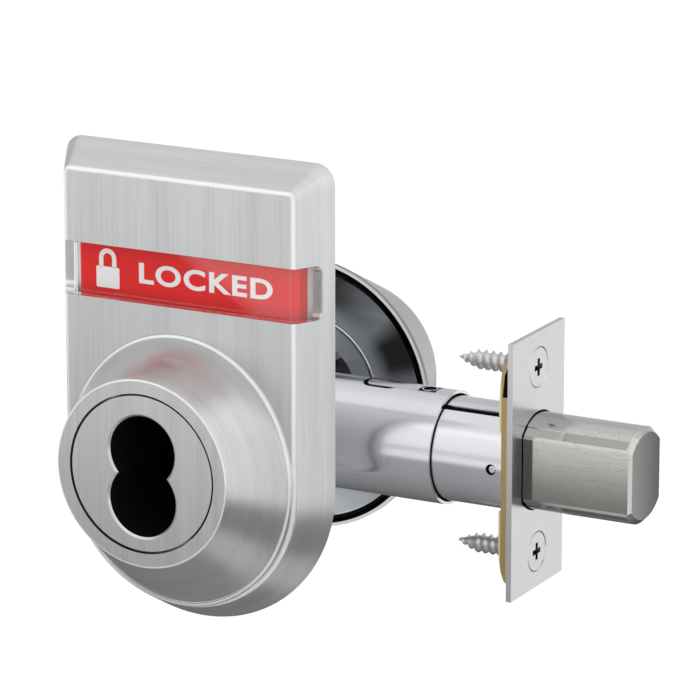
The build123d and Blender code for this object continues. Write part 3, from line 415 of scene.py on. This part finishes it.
grainedMetals = {
    "faceSatin": {"dark": (0.55, 0.55, 0.56), "light": (0.64, 0.64, 0.65), "rough": (0.20, 0.28),
                  "direction": (1.0, 1.0, 0.03), "bump": 0.06},
    "boltNickel": {"dark": (0.50, 0.49, 0.475), "light": (0.60, 0.59, 0.575), "rough": (0.13, 0.22),
                   "direction": (0.05, 1.0, 1.0), "bump": 0.12, "specks": 0.95, "speckScale": 1500.0,
                   "shades": boltShades},
    "screwSteel": {"dark": (0.60, 0.60, 0.60), "light": (0.70, 0.70, 0.70), "rough": (0.34, 0.44),
                   "bump": 0.08, "shades": recessShades},
    "paleZinc": {"dark": (0.78, 0.79, 0.80), "light": (0.88, 0.89, 0.90), "rough": (0.24, 0.34),
                 "direction": (1.0, 1.0, 0.3), "bump": 0.06, "metal": 0.15},
    "zincSteel": {"dark": (0.48, 0.49, 0.50), "light": (0.58, 0.59, 0.60), "rough": (0.26, 0.40),
                  "direction": (1.0, 1.0, 0.3), "bump": 0.12},
    "springSteel": {"dark": (0.12, 0.14, 0.18), "light": (0.20, 0.22, 0.27), "rough": (0.22, 0.34),
                    "direction": (0.05, 1.0, 1.0)},
    "hardSteel": {"dark": (0.30, 0.31, 0.32), "light": (0.38, 0.39, 0.40), "rough": (0.2, 0.3)},
    "darkSteel": {"dark": (0.012, 0.012, 0.013), "light": (0.022, 0.022, 0.024), "rough": (0.4, 0.5)},
}


# Yellow backing plate: painted highlights along its front and rear ends, painted shade in its notch

yellow = {"dark": (0.40, 0.29, 0.13), "light": (0.52, 0.39, 0.19), "rear": (0.86, 0.74, 0.50),
          "front": (0.66, 0.50, 0.40), "edge": 0.45 * mm, "floor": (0.012, 0.010, 0.008),
          "floorDepth": 0.35 * mm, "sideFrom": 0.9, "direction": (1.0, 1.0, 0.05), "rough": (0.24, 0.38),
          "bump": 0.08, "depth": 0.03 * mm}


def yellowPlate(name):
    s = yellow
    low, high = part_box("backing_plate")
    material, tree, shader, place = newMaterial(name)
    x, y, z = split(tree, place)
    lines = useGroup(tree, brushedLines, Place=vectorMath(tree, "MULTIPLY", place, s["direction"]),
                     Fine=1900.0, Broad=160.0, Contrast=1.1)
    body = mixNode(tree, lines["Lines"], s["dark"], s["light"])
    # painted highlight: pale strips along the rear and front ends
    body = mixNode(tree, below(tree, x, low[0] + s["edge"]), body, s["rear"])
    body = mixNode(tree, above(tree, x, high[0] - s["edge"]), body, s["front"])
    # painted shade: the floor of the notch is nearly black and not metal
    normalY = split(tree, surfaceNormal(tree, "True Normal"))[1]
    isSide = above(tree, unsigned(tree, normalY), s["sideFrom"])
    shadedNotch = times(tree, isSide, below(tree, unsigned(tree, y), high[1] - s["floorDepth"]))
    feed(tree, shader, {"Base Color": mixNode(tree, shadedNotch, body, s["floor"]),
                        "Metallic": minus(tree, 1.0, shadedNotch), "Specular IOR Level": dullSpecular,
                        "Roughness": valueRange(tree, lines["Lines"], *s["rough"])})
    bumpInto(tree, shader, lines["Lines"], s["bump"], s["depth"])
    return material


# Rose: satin outside, polished inside with painted shade, and a painted highlight on the rim in front

rose = {"paintedRimColour": (0.93, 0.93, 0.93), "rimStart": 30.75 * mm, "rimDull": -0.85, "frontFrom": -0.9,
        "insideFrom": -0.0001, "satinDark": (0.255, 0.260, 0.257), "satinLight": (0.330, 0.335, 0.332),
        "satinRough": (0.30, 0.38), "polishedShadeDark": (0.010, 0.010, 0.011),
        "polishedShadeLight": (0.020, 0.020, 0.022), "polishedRough": (0.08, 0.16), "bump": 0.05, "depth": 0.02 * mm}


def roseMetal(name):
    s = rose
    material, tree, shader, place = newMaterial(name)
    x, y, z = split(tree, place)
    sides = roundAbout(tree, x, z, y)
    flat = vectorMath(tree, "MULTIPLY", surfaceNormal(tree, "Normal"), (1.0, 0.0, 1.0))
    inside = below(tree, vectorMath(tree, "DOT_PRODUCT", flat, place, "Value"), s["insideFrom"])
    lines = useGroup(tree, brushedLines, Place=sides["Place"], Fine=2400.0, Broad=240.0, Contrast=1.2)
    wear = useGroup(tree, metalWear, Place=place, Smudge=45.0, Speck=1300.0)
    outside = mixNode(tree, lines["Lines"], s["satinDark"], s["satinLight"])
    polishedShade = mixNode(tree, wear["Smudges"], s["polishedShadeDark"], s["polishedShadeLight"])
    isFront = below(tree, split(tree, surfaceNormal(tree, "True Normal"))[1], s["frontFrom"])
    # painted highlight: the front rim is pale and barely metal
    isPaintedRim = times(tree, isFront, above(tree, sides["Radius"], s["rimStart"]))
    # painted shade: the polished inside, and the front faces within the rim, are nearly black
    body = mixNode(tree, inside, outside, polishedShade)
    body = mixNode(tree, minus(tree, isFront, isPaintedRim), body, s["polishedShadeDark"])
    rough = mixNode(tree, inside, valueRange(tree, lines["Lines"], *s["satinRough"]),
                    valueRange(tree, wear["Smudges"], *s["polishedRough"]), "FLOAT")
    feed(tree, shader, {"Base Color": mixNode(tree, isPaintedRim, body, s["paintedRimColour"]), "Roughness": rough,
                        "Metallic": mathNode(tree, "MULTIPLY_ADD", isPaintedRim, s["rimDull"], 1.0)})
    bumpInto(tree, shader, lines["Lines"], s["bump"], s["depth"])
    return material


# Inner plate: polished dish with painted shade on its step and its outer rim, and painted reflection wedges

dish = {"dark": (0.60, 0.63, 0.67), "light": (0.72, 0.75, 0.79), "rough": (0.10, 0.18), "metal": 0.72,
        "paintedRimColour": (0.012, 0.012, 0.013), "rimStart": 29.05 * mm, "step": (0.07, 0.073, 0.078),
        "stepFrom": 17.2 * mm, "stepTo": 17.62 * mm, "wedgeShade": (0.05, 0.05, 0.052),
        "wedgeFrom": 18.0 * mm, "wedgeTo": 23.5 * mm, "wedgeCore": 0.25, "bump": 0.03, "depth": 0.02 * mm}
dishReflectionWedges = ({"middle": 27.0, "spread": 20.0, "shade": 0.97}, {"middle": 92.0, "spread": 58.0, "shade": 0.95},
              {"middle": -150.0, "spread": 30.0, "shade": 0.6})


def reflectionWedges(tree, angle, radius):
    # painted reflection: soft dark wedges round the centre of the turned face
    shades = 0.0
    for wedgeShade in dishReflectionWedges:
        away = unsigned(tree, minus(tree, angle, math.radians(wedgeShade["middle"])))
        fade = mapRange(tree, away, math.radians(wedgeShade["spread"]),
                        math.radians(wedgeShade["spread"] * dish["wedgeCore"]), 0.0, wedgeShade["shade"])
        shades = larger(tree, shades, fade)
    return times(tree, shades, mapRange(tree, radius, dish["wedgeFrom"], dish["wedgeTo"]))


def dishSteel(name):
    s = dish
    material, tree, shader, place = newMaterial(name)
    x, y, z = split(tree, place)
    spun = roundAbout(tree, x, z, y)
    radius = spun["Radius"]
    wear = useGroup(tree, metalWear, Place=place, Smudge=45.0, Speck=1300.0)
    lines = useGroup(tree, brushedLines, Place=spun["Place"], Fine=2400.0, Broad=240.0, Contrast=1.0)
    body = mixNode(tree, wear["Smudges"], s["dark"], s["light"])
    # painted reflection: dark wedges round the centre
    body = mixNode(tree, reflectionWedges(tree, spun["Angle"], radius), body, s["wedgeShade"])
    # painted shade: the outer rim is nearly black
    isPaintedRim = above(tree, radius, s["rimStart"])
    body = mixNode(tree, isPaintedRim, body, s["paintedRimColour"])
    # painted shade: a dark ring on the step, leaving a thin bright line at its edge
    shadedStep = times(tree, above(tree, radius, s["stepFrom"]), below(tree, radius, s["stepTo"]))
    feed(tree, shader, {"Base Color": mixNode(tree, shadedStep, body, s["step"]),
                        "Roughness": valueRange(tree, lines["Lines"], *s["rough"]),
                        "Metallic": larger(tree, isPaintedRim, s["metal"])})
    bumpInto(tree, shader, lines["Lines"], s["bump"], s["depth"])
    return material


# Plastics

flagPaint = {"locked": (0.76, 0.012, 0.011), "lockedLight": (0.84, 0.020, 0.018), "open": (0.02, 0.26, 0.08),
             "openLight": (0.03, 0.31, 0.10), "split": 44.85 * mm, "rough": (0.40, 0.50), "specular": 0.15,
             "bump": 0.03, "depth": 0.02 * mm}


def flagPlastic(name):
    s = flagPaint
    material, tree, shader, place = newMaterial(name)
    upper = above(tree, split(tree, place)[2], s["split"])
    wear = useGroup(tree, metalWear, Place=place, Smudge=50.0, Speck=1500.0)
    red = mixNode(tree, wear["Smudges"], s["locked"], s["lockedLight"])
    green = mixNode(tree, wear["Smudges"], s["open"], s["openLight"])
    feed(tree, shader, {"Base Color": mixNode(tree, upper, red, green), "Specular IOR Level": s["specular"],
                        "Roughness": valueRange(tree, wear["Grain"], *s["rough"])})
    bumpInto(tree, shader, wear["Grain"], s["bump"], s["depth"])
    return material


def plainPlastic(name, dark, light, rough=(0.4, 0.55), smudge=60.0, speck=1600.0, bump=0.15, depth=0.03 * mm):
    material, tree, shader, place = newMaterial(name)
    wear = useGroup(tree, metalWear, Place=place, Smudge=smudge, Speck=speck)
    feed(tree, shader, {"Base Color": mixNode(tree, wear["Smudges"], dark, light),
                        "Roughness": valueRange(tree, wear["Grain"], *rough)})
    bumpInto(tree, shader, wear["Grain"], bump, depth)
    return material


plainPlastics = {
    "whiteInk": {"dark": (0.8836, 0.846, 0.846), "light": (0.94, 0.90, 0.90), "rough": (0.35, 0.5),
                 "smudge": 80.0, "speck": 1800.0, "bump": 0.04, "depth": 0.01 * mm},
    "blackMoulding": {"dark": (0.010, 0.010, 0.011), "light": (0.02, 0.02, 0.022)},
    "naturalNylon": {"dark": (0.62, 0.60, 0.54), "light": (0.70, 0.68, 0.62)},
}

lens = {"dark": (0.955, 0.96, 0.965), "light": (0.985, 0.99, 0.99), "footShade": (0.66, 0.62, 0.61),
        "footStart": 3.35 * mm, "rough": (0.015, 0.045), "bump": 0.02, "depth": 0.05 * mm}


def clearLens(name):
    s = lens
    low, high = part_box("window_lens")
    material, tree, shader, place = newMaterial(name)
    x, y, z = split(tree, place)
    wear = useGroup(tree, metalWear, Place=place, Smudge=40.0, Speck=1400.0)
    clear = mixNode(tree, wear["Smudges"], s["dark"], s["light"])
    # painted shade: the right foot of the lens is darkened where the dark slot lies round it
    shadedFoot = times(tree, above(tree, y, low[1] + s["footStart"]), above(tree, x, 0.0))
    feed(tree, shader, {"Base Color": mixNode(tree, shadedFoot, clear, s["footShade"]),
                        "Roughness": valueRange(tree, wear["Smudges"], *s["rough"]),
                        "Metallic": 0.0, "IOR": 1.04, "Transmission Weight": 1.0,
                        "Coat Weight": 1.0, "Coat IOR": 1.49, "Coat Roughness": 0.02})
    bumpInto(tree, shader, wear["Smudges"], s["bump"], s["depth"])
    path = addNode(tree, "ShaderNodeLightPath").outputs
    passing = larger(tree, path["Is Shadow Ray"], path["Is Diffuse Ray"])
    through = addNode(tree, "ShaderNodeBsdfTransparent").outputs[0]
    mixShaders(tree, passing, shader.outputs[0], through)
    return material


materials = {
    "plateSatin": satinTrim("plateSatin", roundSides=False),
    "collarSatin": satinTrim("collarSatin", roundSides=True),
    "housingSatin": satinTrim("housingSatin", roundSides=False, shadedSocket=True),
    "roseMetal": roseMetal("roseMetal"),
    "brightTube": brightTube("brightTube"),
    "innerTube": brightTube("innerTube", innerTubeShadeMask),
    "sleeveTube": brightTube("sleeveTube", sleeveShadeMask),
    "buttonZinc": brightTube("buttonZinc", buttonShadeMask),
    "yellowPlate": yellowPlate("yellowPlate"),
    "dishSteel": dishSteel("dishSteel"),
    "flagPlastic": flagPlastic("flagPlastic"),
    "clearLens": clearLens("clearLens"),
}
materials.update({name: grainedMetal(name, **settings) for name, settings in grainedMetals.items()})
materials.update({name: plainPlastic(name, **settings) for name, settings in plainPlastics.items()})

finishes = {
    "plateSatin": ["indicator_plate"],
    "collarSatin": ["collar", "thumbturn"],
    "housingSatin": ["core_housing"],
    "roseMetal": ["inside_rose"],
    "brightTube": ["tube_stake"],
    "dishSteel": ["inner_plate"],
    "innerTube": ["inner_tube"],
    "sleeveTube": ["outer_sleeve"],
    "buttonZinc": ["backset_button"],
    "yellowPlate": ["backing_plate"],
    "faceSatin": ["faceplate"],
    "boltNickel": ["deadbolt"],
    "screwSteel": ["faceplate_screws", "mounting_bolts", "support_screws"],
    "paleZinc": ["support_plate"],
    "zincSteel": ["mounting_posts", "case_plate_outside", "case_plate_inside", "case_rivets",
                  "bolt_bar", "bar_pin", "cam_hub", "spindle", "flag_crank", "flag_link", "turn_clip"],
    "darkSteel": ["throw_member", "housing_ring"],
    "springSteel": ["detent_spring"],
    "hardSteel": ["saw_pin"],
    "flagPlastic": ["indicator_flag"],
    "blackMoulding": ["flag_guide"],
    "naturalNylon": ["turn_bushing"],
    "clearLens": ["window_lens"],
}

for finish, nodes in finishes.items():
    for node in nodes:
        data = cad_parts[node].data
        data.materials.clear()
        data.materials.append(materials[finish])
print("finishes on", sum(len(nodes) for nodes in finishes.values()), "nodes")


# Small helpers for meshes

def newObject(name, data):
    made = bpy.data.objects.new(name, data)
    bpy.context.scene.collection.objects.link(made)
    return made


def meshObject(name, bm):
    mesh = bpy.data.meshes.new(name)
    bm.to_mesh(mesh)
    bm.free()
    return newObject(name, mesh)


def evaluatedMesh(source):
    return bpy.data.meshes.new_from_object(source.evaluated_get(bpy.context.evaluated_depsgraph_get()))


def newPiece(name, bm, material, body, smoothAngle):
    bmesh.ops.recalc_face_normals(bm, faces=bm.faces)
    piece = meshObject(name, bm)
    piece.data.materials.append(materials[material])
    piece.data.shade_smooth()
    piece.data.set_sharp_from_angle(angle=math.radians(smoothAngle))
    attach(piece, body)
    return piece


def bridge(bm, before, after):
    for index in range(len(before)):
        following = (index + 1) % len(before)
        bm.faces.new((before[index], before[following], after[following], after[index]))


# Wood screws of the faceplate: threads, points and cross recesses, in mm

woodScrew = {"tip": 50.8, "head": 69.80, "threadEnd": 64.6, "core": 1.6, "coreCurve": 0.8, "crest": 2.25,
             "crestAtTip": 0.25, "pitch": 1.75, "ridgeWidth": 0.27, "ridgeCurve": 1.3, "runOut": 1.2,
             "tipLength": 5.0, "plainTip": 0.12, "tipRise": 2.5, "tipRadius": 0.02, "headRadius": 4.3,
             "headDepth": 2.9, "rimStart": 0.35, "rimEnd": 0.08, "rimRound": 0.1, "around": 72, "steps": 20,
             "recessArm": 2.15, "recessWidth": 0.62, "recessDepth": 1.7, "recessLead": 0.3,
             "floorArm": 0.42, "floorWidth": 0.7, "spread": 20.6375, "sharpAngle": 28.0}


def threadRadius(along, left, column, turn):
    s = woodScrew
    taper = min(1.0, along / s["tipLength"])
    phase = (along / s["pitch"] - column / s["around"] + turn) % 1.0
    ridge = max(0.0, 1 - abs(phase - 0.5) / s["ridgeWidth"]) ** s["ridgeCurve"]
    fade = min(1.0, left / s["runOut"]) * min(1.0, taper * s["tipRise"])
    core = s["core"] * taper ** s["coreCurve"]
    crest = core
    if taper > s["plainTip"]:
        crest = s["crest"] * min(1.0, s["crestAtTip"] + (1 - s["crestAtTip"]) * taper)
    return max(core + (crest - core) * ridge * fade, s["tipRadius"])


def screwRing(bm, x, centreZ, radii):
    ring = []
    for column, radius in enumerate(radii):
        angle = 2 * math.pi * column / len(radii)
        ring.append(bm.verts.new((x * mm, radius * math.cos(angle) * mm,
                                  (centreZ + radius * math.sin(angle)) * mm)))
    return ring


def screwMesh(centreZ, turn):
    s = woodScrew
    bm = bmesh.new()
    length = s["threadEnd"] - s["tip"]
    rows = int(length / s["pitch"] * s["steps"])
    rings = []
    for row in range(rows + 1):
        along = length * row / rows
        radii = [threadRadius(along, length - along, column, turn) for column in range(s["around"])]
        rings.append(screwRing(bm, s["tip"] + along, centreZ, radii))
    for depth, radius in ((s["headDepth"], s["core"]), (s["rimStart"], s["headRadius"]),
                          (s["rimEnd"], s["headRadius"]), (0.0, s["headRadius"] - s["rimRound"])):
        rings.append(screwRing(bm, s["head"] - depth, centreZ, [radius] * s["around"]))
    bm.faces.new(list(reversed(rings[0])))
    for before, after in zip(rings, rings[1:]):
        bridge(bm, before, after)
    bm.faces.new(rings[-1])
    return bm


def crossCutter(centreZ):
    s = woodScrew
    bm = bmesh.new()
    for along, side in ((Vector((0, 1, 0)), Vector((0, 0, 1))), (Vector((0, 0, 1)), Vector((0, -1, 0)))):
        corners = []
        for depth, reach, width in ((-s["recessLead"], s["recessArm"], s["recessWidth"]),
                                    (s["recessDepth"], s["recessArm"] * s["floorArm"],
                                     s["recessWidth"] * s["floorWidth"])):
            for a, b in ((-1, -1), (1, -1), (1, 1), (-1, 1)):
                point = along * (a * reach) + side * (b * width)
                corners.append(bm.verts.new(((s["head"] - depth) * mm, point.y * mm, (centreZ + point.z) * mm)))
        for face in ((3, 2, 1, 0), (4, 5, 6, 7), (0, 1, 5, 4), (1, 2, 6, 5), (2, 3, 7, 6), (3, 0, 4, 7)):
            bm.faces.new([corners[index] for index in face])
    bmesh.ops.recalc_face_normals(bm, faces=bm.faces)
    return meshObject("crossCutter", bm)


def cutAway(piece, cutter):
    modifier = piece.modifiers.new("cut", "BOOLEAN")
    modifier.operation = "DIFFERENCE"
    modifier.solver = "EXACT"
    modifier.use_self = True
    modifier.object = cutter
    result = evaluatedMesh(piece)
    piece.modifiers.clear()
    old = piece.data
    piece.data = result
    bpy.data.meshes.remove(old)
    bpy.data.objects.remove(cutter)


def buildWoodScrews():
    s = woodScrew
    for name, centreZ, turn in (("woodScrewUpper", s["spread"], 0.12), ("woodScrewLower", -s["spread"], 0.22)):
        piece = newPiece(name, screwMesh(centreZ, turn), "screwSteel", "lock_body", s["sharpAngle"])
        cutAway(piece, crossCutter(centreZ))
        piece.data.set_sharp_from_angle(angle=math.radians(s["sharpAngle"]))
    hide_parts("faceplate_screws")
    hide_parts("faceplate_screws")


buildWoodScrews()
print("wood screws built")


# Rounded foot of the collar, where it meets the plate, in mm

collarFoot = {"round": 1.0, "inwards": 0.35, "sunk": 0.25, "around": 160, "steps": 14, "smoothAngle": 60.0}


def buildCollarFoot():
    s = collarFoot
    low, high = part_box("collar")
    centreX, centreZ = (low[0] + high[0]) / 2, (low[2] + high[2]) / 2
    halfX = (high[0] - low[0]) / 2 - s["inwards"] * mm
    halfZ = (high[2] - low[2]) / 2 - s["inwards"] * mm
    bm = bmesh.new()
    rings = []
    for column in range(s["around"]):
        angle = 2 * math.pi * column / s["around"]
        outX, outZ = math.cos(angle) / halfX, math.sin(angle) / halfZ
        size = math.hypot(outX, outZ)
        ring = []
        for step in range(s["steps"]):
            turn = 2 * math.pi * step / s["steps"]
            reach = s["round"] * mm * math.cos(turn)
            ring.append(bm.verts.new((centreX + halfX * math.cos(angle) + reach * outX / size,
                                      high[1] + s["sunk"] * mm - s["round"] * mm * math.sin(turn),
                                      centreZ + halfZ * math.sin(angle) + reach * outZ / size)))
        rings.append(ring)
    for column, ring in enumerate(rings):
        bridge(bm, ring, rings[(column + 1) % s["around"]])
    newPiece("collarFoot", bm, "collarSatin", "lock_body", s["smoothAngle"])


buildCollarFoot()
print("collar foot built")


# Word and symbol on the flag, in mm

flagPrint = {"front": -29.55, "thick": 0.06, "openLift": 12.7, "wordSize": 6.1, "wordStart": -11.4,
             "wordEnd": 21.4, "wordBase": 36.35, "openStart": -8.4, "openEnd": 13.4, "bold": 0.030,
             "spacing": 1.12, "curveSteps": 6, "symbolCentre": -19.2, "bodyWidth": 5.75, "bodyLow": 34.15,
             "bodyHigh": 38.85, "corner": 0.35, "cornerSteps": 4, "shackleHigh": 42.9, "shackleWide": 4.3,
             "shackleThick": 1.05, "shackleSteps": 24, "shackleSunk": 0.1, "openShift": 1.55, "openRise": 1.4,
             "smoothAngle": 40.0}


def wordPiece(name, text, lift, start, end):
    p = flagPrint
    curve = bpy.data.curves.new(name, "FONT")
    curve.body = text
    curve.size = p["wordSize"] * mm
    curve.extrude = p["thick"] / 2 * mm
    curve.offset = p["bold"] * p["wordSize"] * mm
    curve.space_character = p["spacing"]
    curve.resolution_u = p["curveSteps"]
    probe = newObject(name + "Curve", curve)
    mesh = evaluatedMesh(probe)
    bpy.data.objects.remove(probe)
    low = min(v.co.x for v in mesh.vertices)
    high = max(v.co.x for v in mesh.vertices)
    scale = (end - start) * mm / (high - low)
    for v in mesh.vertices:
        x, y, z = v.co
        v.co = ((x - low) * scale + start * mm, (p["front"] - p["thick"] / 2) * mm - z,
                y + (p["wordBase"] + lift) * mm)
    piece = newObject(name, mesh)
    mesh.materials.clear()
    mesh.materials.append(materials["whiteInk"])
    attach(piece, "flag")


def extrudedOutline(bm, outline):
    front, thick = flagPrint["front"], flagPrint["thick"]
    near = [bm.verts.new((x * mm, (front - thick) * mm, z * mm)) for x, z in outline]
    far = [bm.verts.new((x * mm, front * mm, z * mm)) for x, z in outline]
    bm.faces.new(near)
    bm.faces.new(list(reversed(far)))
    bridge(bm, far, near)


def arc(centreX, centreZ, radius, startAngle, turn, steps):
    angles = [math.radians(startAngle + turn * step / steps) for step in range(steps + 1)]
    return [(centreX + radius * math.cos(angle), centreZ + radius * math.sin(angle)) for angle in angles]


def padlockPiece(name, lift, opened):
    p = flagPrint
    bm = bmesh.new()
    left = p["symbolCentre"] - p["bodyWidth"] / 2 + p["corner"]
    right = p["symbolCentre"] + p["bodyWidth"] / 2 - p["corner"]
    lower = p["bodyLow"] + p["corner"] + lift
    upper = p["bodyHigh"] - p["corner"] + lift
    body = []
    for x, z, startAngle in ((right, lower, -90), (right, upper, 0), (left, upper, 90), (left, lower, 180)):
        body += arc(x, z, p["corner"], startAngle, 90, p["cornerSteps"])
    extrudedOutline(bm, body)
    outer = p["shackleWide"] / 2
    inner = outer - p["shackleThick"]
    centre = p["symbolCentre"] + (outer * p["openShift"] if opened else 0.0)
    arcZ = p["shackleHigh"] - outer + lift
    low = p["bodyHigh"] - p["shackleSunk"] + lift
    freeLow = low + (p["openRise"] if opened else 0.0)
    shackle = [(centre - outer, low), *arc(centre, arcZ, outer, 180, -180, p["shackleSteps"]),
               (centre + outer, freeLow), (centre + inner, freeLow),
               *arc(centre, arcZ, inner, 0, 180, p["shackleSteps"]), (centre - inner, low)]
    extrudedOutline(bm, shackle)
    newPiece(name, bm, "whiteInk", "flag", p["smoothAngle"])


wordPiece("lockedWord", "LOCKED", 0.0, flagPrint["wordStart"], flagPrint["wordEnd"])
padlockPiece("closedPadlock", 0.0, False)
wordPiece("openWord", "OPEN", flagPrint["openLift"], flagPrint["openStart"], flagPrint["openEnd"])
padlockPiece("openPadlock", flagPrint["openLift"], True)
print("flag printed")


# Stage, light and camera, in metres

stage = {"floorHeight": -0.105, "floorSize": 9.0, "floorColour": (0.97, 0.97, 0.97), "floorLift": 0.06}


def buildStage():
    material, tree, shader, place = newMaterial("paleFloor")
    path = addNode(tree, "ShaderNodeLightPath").outputs
    through = larger(tree, path["Is Glossy Ray"], path["Is Transmission Ray"])
    feed(tree, shader, {"Base Color": stage["floorColour"], "Roughness": 0.8, "Specular IOR Level": 0.1,
                        "Emission Color": larger(tree, path["Is Camera Ray"], through),
                        "Emission Strength": stage["floorLift"]})
    bm = bmesh.new()
    bmesh.ops.create_grid(bm, x_segments=4, y_segments=4, size=stage["floorSize"],
                          matrix=Matrix.Translation((0, 0, stage["floorHeight"])))
    floor = meshObject("floor", bm)
    floor.data.materials.append(material)


# grey cards lie just over the floor and are seen only in the metal
greyCards = {
    "underCard": {"outline": ((-0.44, -0.38), (0.46, -0.38), (-0.02, 0.42), (-0.44, 0.42)), "edge": 0.07,
                  "lean": 0.6, "front": 0.42, "back": 0.10, "turn": (-0.14, 0.14), "height": -0.099},
    "streakCard": {"outline": ((0.09, -0.16), (0.19, -0.16), (0.19, 0.06), (0.09, 0.06)), "edge": 0.03,
                   "lean": 0.0, "front": 0.28, "back": 0.28, "turn": (-0.5, 0.5), "height": -0.098},
    "glowCard": {"outline": ((0.02, -0.13), (0.085, -0.13), (0.085, 0.03), (0.02, 0.03)), "edge": 0.02,
                 "lean": 0.0, "front": 0.62, "back": 0.62, "turn": (-0.5, 0.5), "height": -0.098},
    "lensCard": {"outline": ((-0.2250, -0.4675), (-0.2990, -0.5370), (-0.3700, -0.5700), (-0.3600, -0.4500),
                             (-0.2700, -0.4200)), "edge": 0.0, "lean": 0.0, "front": 0.12, "back": 0.12,
                 "turn": (-0.5, 0.5), "height": -0.0985},
}


def cardFade(tree, s, x, y):
    # a card fades out over its edge width, along x with its lean and along y
    leaning = mathNode(tree, "MULTIPLY_ADD", y, s["lean"], x)
    fades = []
    for value, reached in ((leaning, [x + s["lean"] * y for x, y in s["outline"]]),
                           (y, [y for x, y in s["outline"]])):
        middle, half = (max(reached) + min(reached)) / 2, (max(reached) - min(reached)) / 2
        fades.append(mapRange(tree, unsigned(tree, minus(tree, value, middle)), half, half - s["edge"]))
    return times(tree, *fades)


def buildCards():
    for name, s in greyCards.items():
        material, tree, shader, place = newMaterial(name)
        tree.nodes.remove(shader)
        x, y, z = split(tree, place)
        solid = cardFade(tree, s, x, y) if s["edge"] else 1.0
        glow = nodeOutput(tree, "ShaderNodeEmission", {"Color": mapRange(tree, y, *s["turn"], s["front"], s["back"])})
        mixShaders(tree, solid, addNode(tree, "ShaderNodeBsdfTransparent").outputs[0], glow)
        bm = bmesh.new()
        bm.faces.new([bm.verts.new((x, y, s["height"])) for x, y in s["outline"]])
        card = meshObject(name, bm)
        card.data.materials.append(material)
        card.visible_camera = False
        card.visible_diffuse = False
        card.visible_shadow = False


softLights = {
    "overhead": {"place": (0.0, 0.1, 1.5), "aim": (0.02, 0.0, 0.0), "size": (3.4, 3.0), "power": 6.0},
    "rightBox": {"place": (1.5, 0.15, 0.45), "aim": (0.0, 0.0, 0.0), "size": (1.7, 1.8), "power": 3.2},
    "leftBox": {"place": (-1.1, -1.2, 0.9), "aim": (0.0, 0.0, 0.0), "size": (1.5, 1.5), "power": 2.4},
}


def buildLights():
    for name, s in softLights.items():
        lamp = bpy.data.lights.new(name, "AREA")
        lamp.shape = "RECTANGLE"
        lamp.size, lamp.size_y = s["size"]
        lamp.energy = s["power"]
        holder = newObject(name, lamp)
        holder.location = s["place"]
        aim = Vector(s["aim"]) - Vector(s["place"])
        holder.rotation_euler = aim.to_track_quat("-Z", "Y").to_euler()


sky = {"below": 0.7, "horizon": 0.88, "above": 0.98, "leftShade": 0.82, "leftReach": (-1.0, 0.4),
       "rearShade": 0.80, "rearReach": (0.1, 0.5)}


def buildWorld():
    world = bpy.data.worlds.new("studio")
    bpy.context.scene.world = world
    world.use_nodes = True
    tree = world.node_tree
    x, y, z = split(tree, addNode(tree, "ShaderNodeTexCoord").outputs["Generated"])
    ramp = addNode(tree, "ShaderNodeValToRGB")
    elements = ramp.color_ramp.elements
    elements[0].position, elements[1].position = 0.0, 1.0
    elements[0].color = (*[sky["below"]] * 3, 1.0)
    elements[1].color = (*[sky["above"]] * 3, 1.0)
    middle = elements.new(0.5)
    middle.color = (*[sky["horizon"]] * 3, 1.0)
    feed(tree, ramp, {0: mathNode(tree, "MULTIPLY_ADD", z, 0.5, 0.5, clamp=True)})
    shaded = scaledVector(tree, ramp.outputs[0], mapRange(tree, x, *sky["leftReach"], sky["leftShade"], 1.0))
    # metal sees the studio behind the object a little darker
    path = addNode(tree, "ShaderNodeLightPath").outputs
    rear = mapRange(tree, y, *sky["rearReach"], 0.0, 1.0 - sky["rearShade"])
    behind = scaledVector(tree, shaded, minus(tree, 1.0, times(tree, rear, path["Is Glossy Ray"])))
    white = mixNode(tree, path["Is Camera Ray"], behind, (1.0, 1.0, 1.0))
    feed(tree, tree.nodes["Background"], {"Color": white, "Strength": 1.0})


cameraSetup = {"place": (0.47646, -0.85280, 0.28204), "turn": 27.939, "tilt": 15.265, "lens": 235.88,
               "sensor": 36.0, "near": 0.01, "far": 50.0}


def buildCamera():
    data = bpy.data.cameras.new("camera")
    data.sensor_width = cameraSetup["sensor"]
    data.lens = cameraSetup["lens"]
    data.clip_start = cameraSetup["near"]
    data.clip_end = cameraSetup["far"]
    camera = newObject("camera", data)
    camera.location = cameraSetup["place"]
    camera.rotation_euler = (math.radians(90 - cameraSetup["tilt"]), 0, math.radians(cameraSetup["turn"]))
    bpy.context.scene.camera = camera


buildStage()
buildCards()
buildLights()
buildWorld()
buildCamera()
bpy.context.scene.view_settings.view_transform = "Standard"
print("stage, light and camera ready")
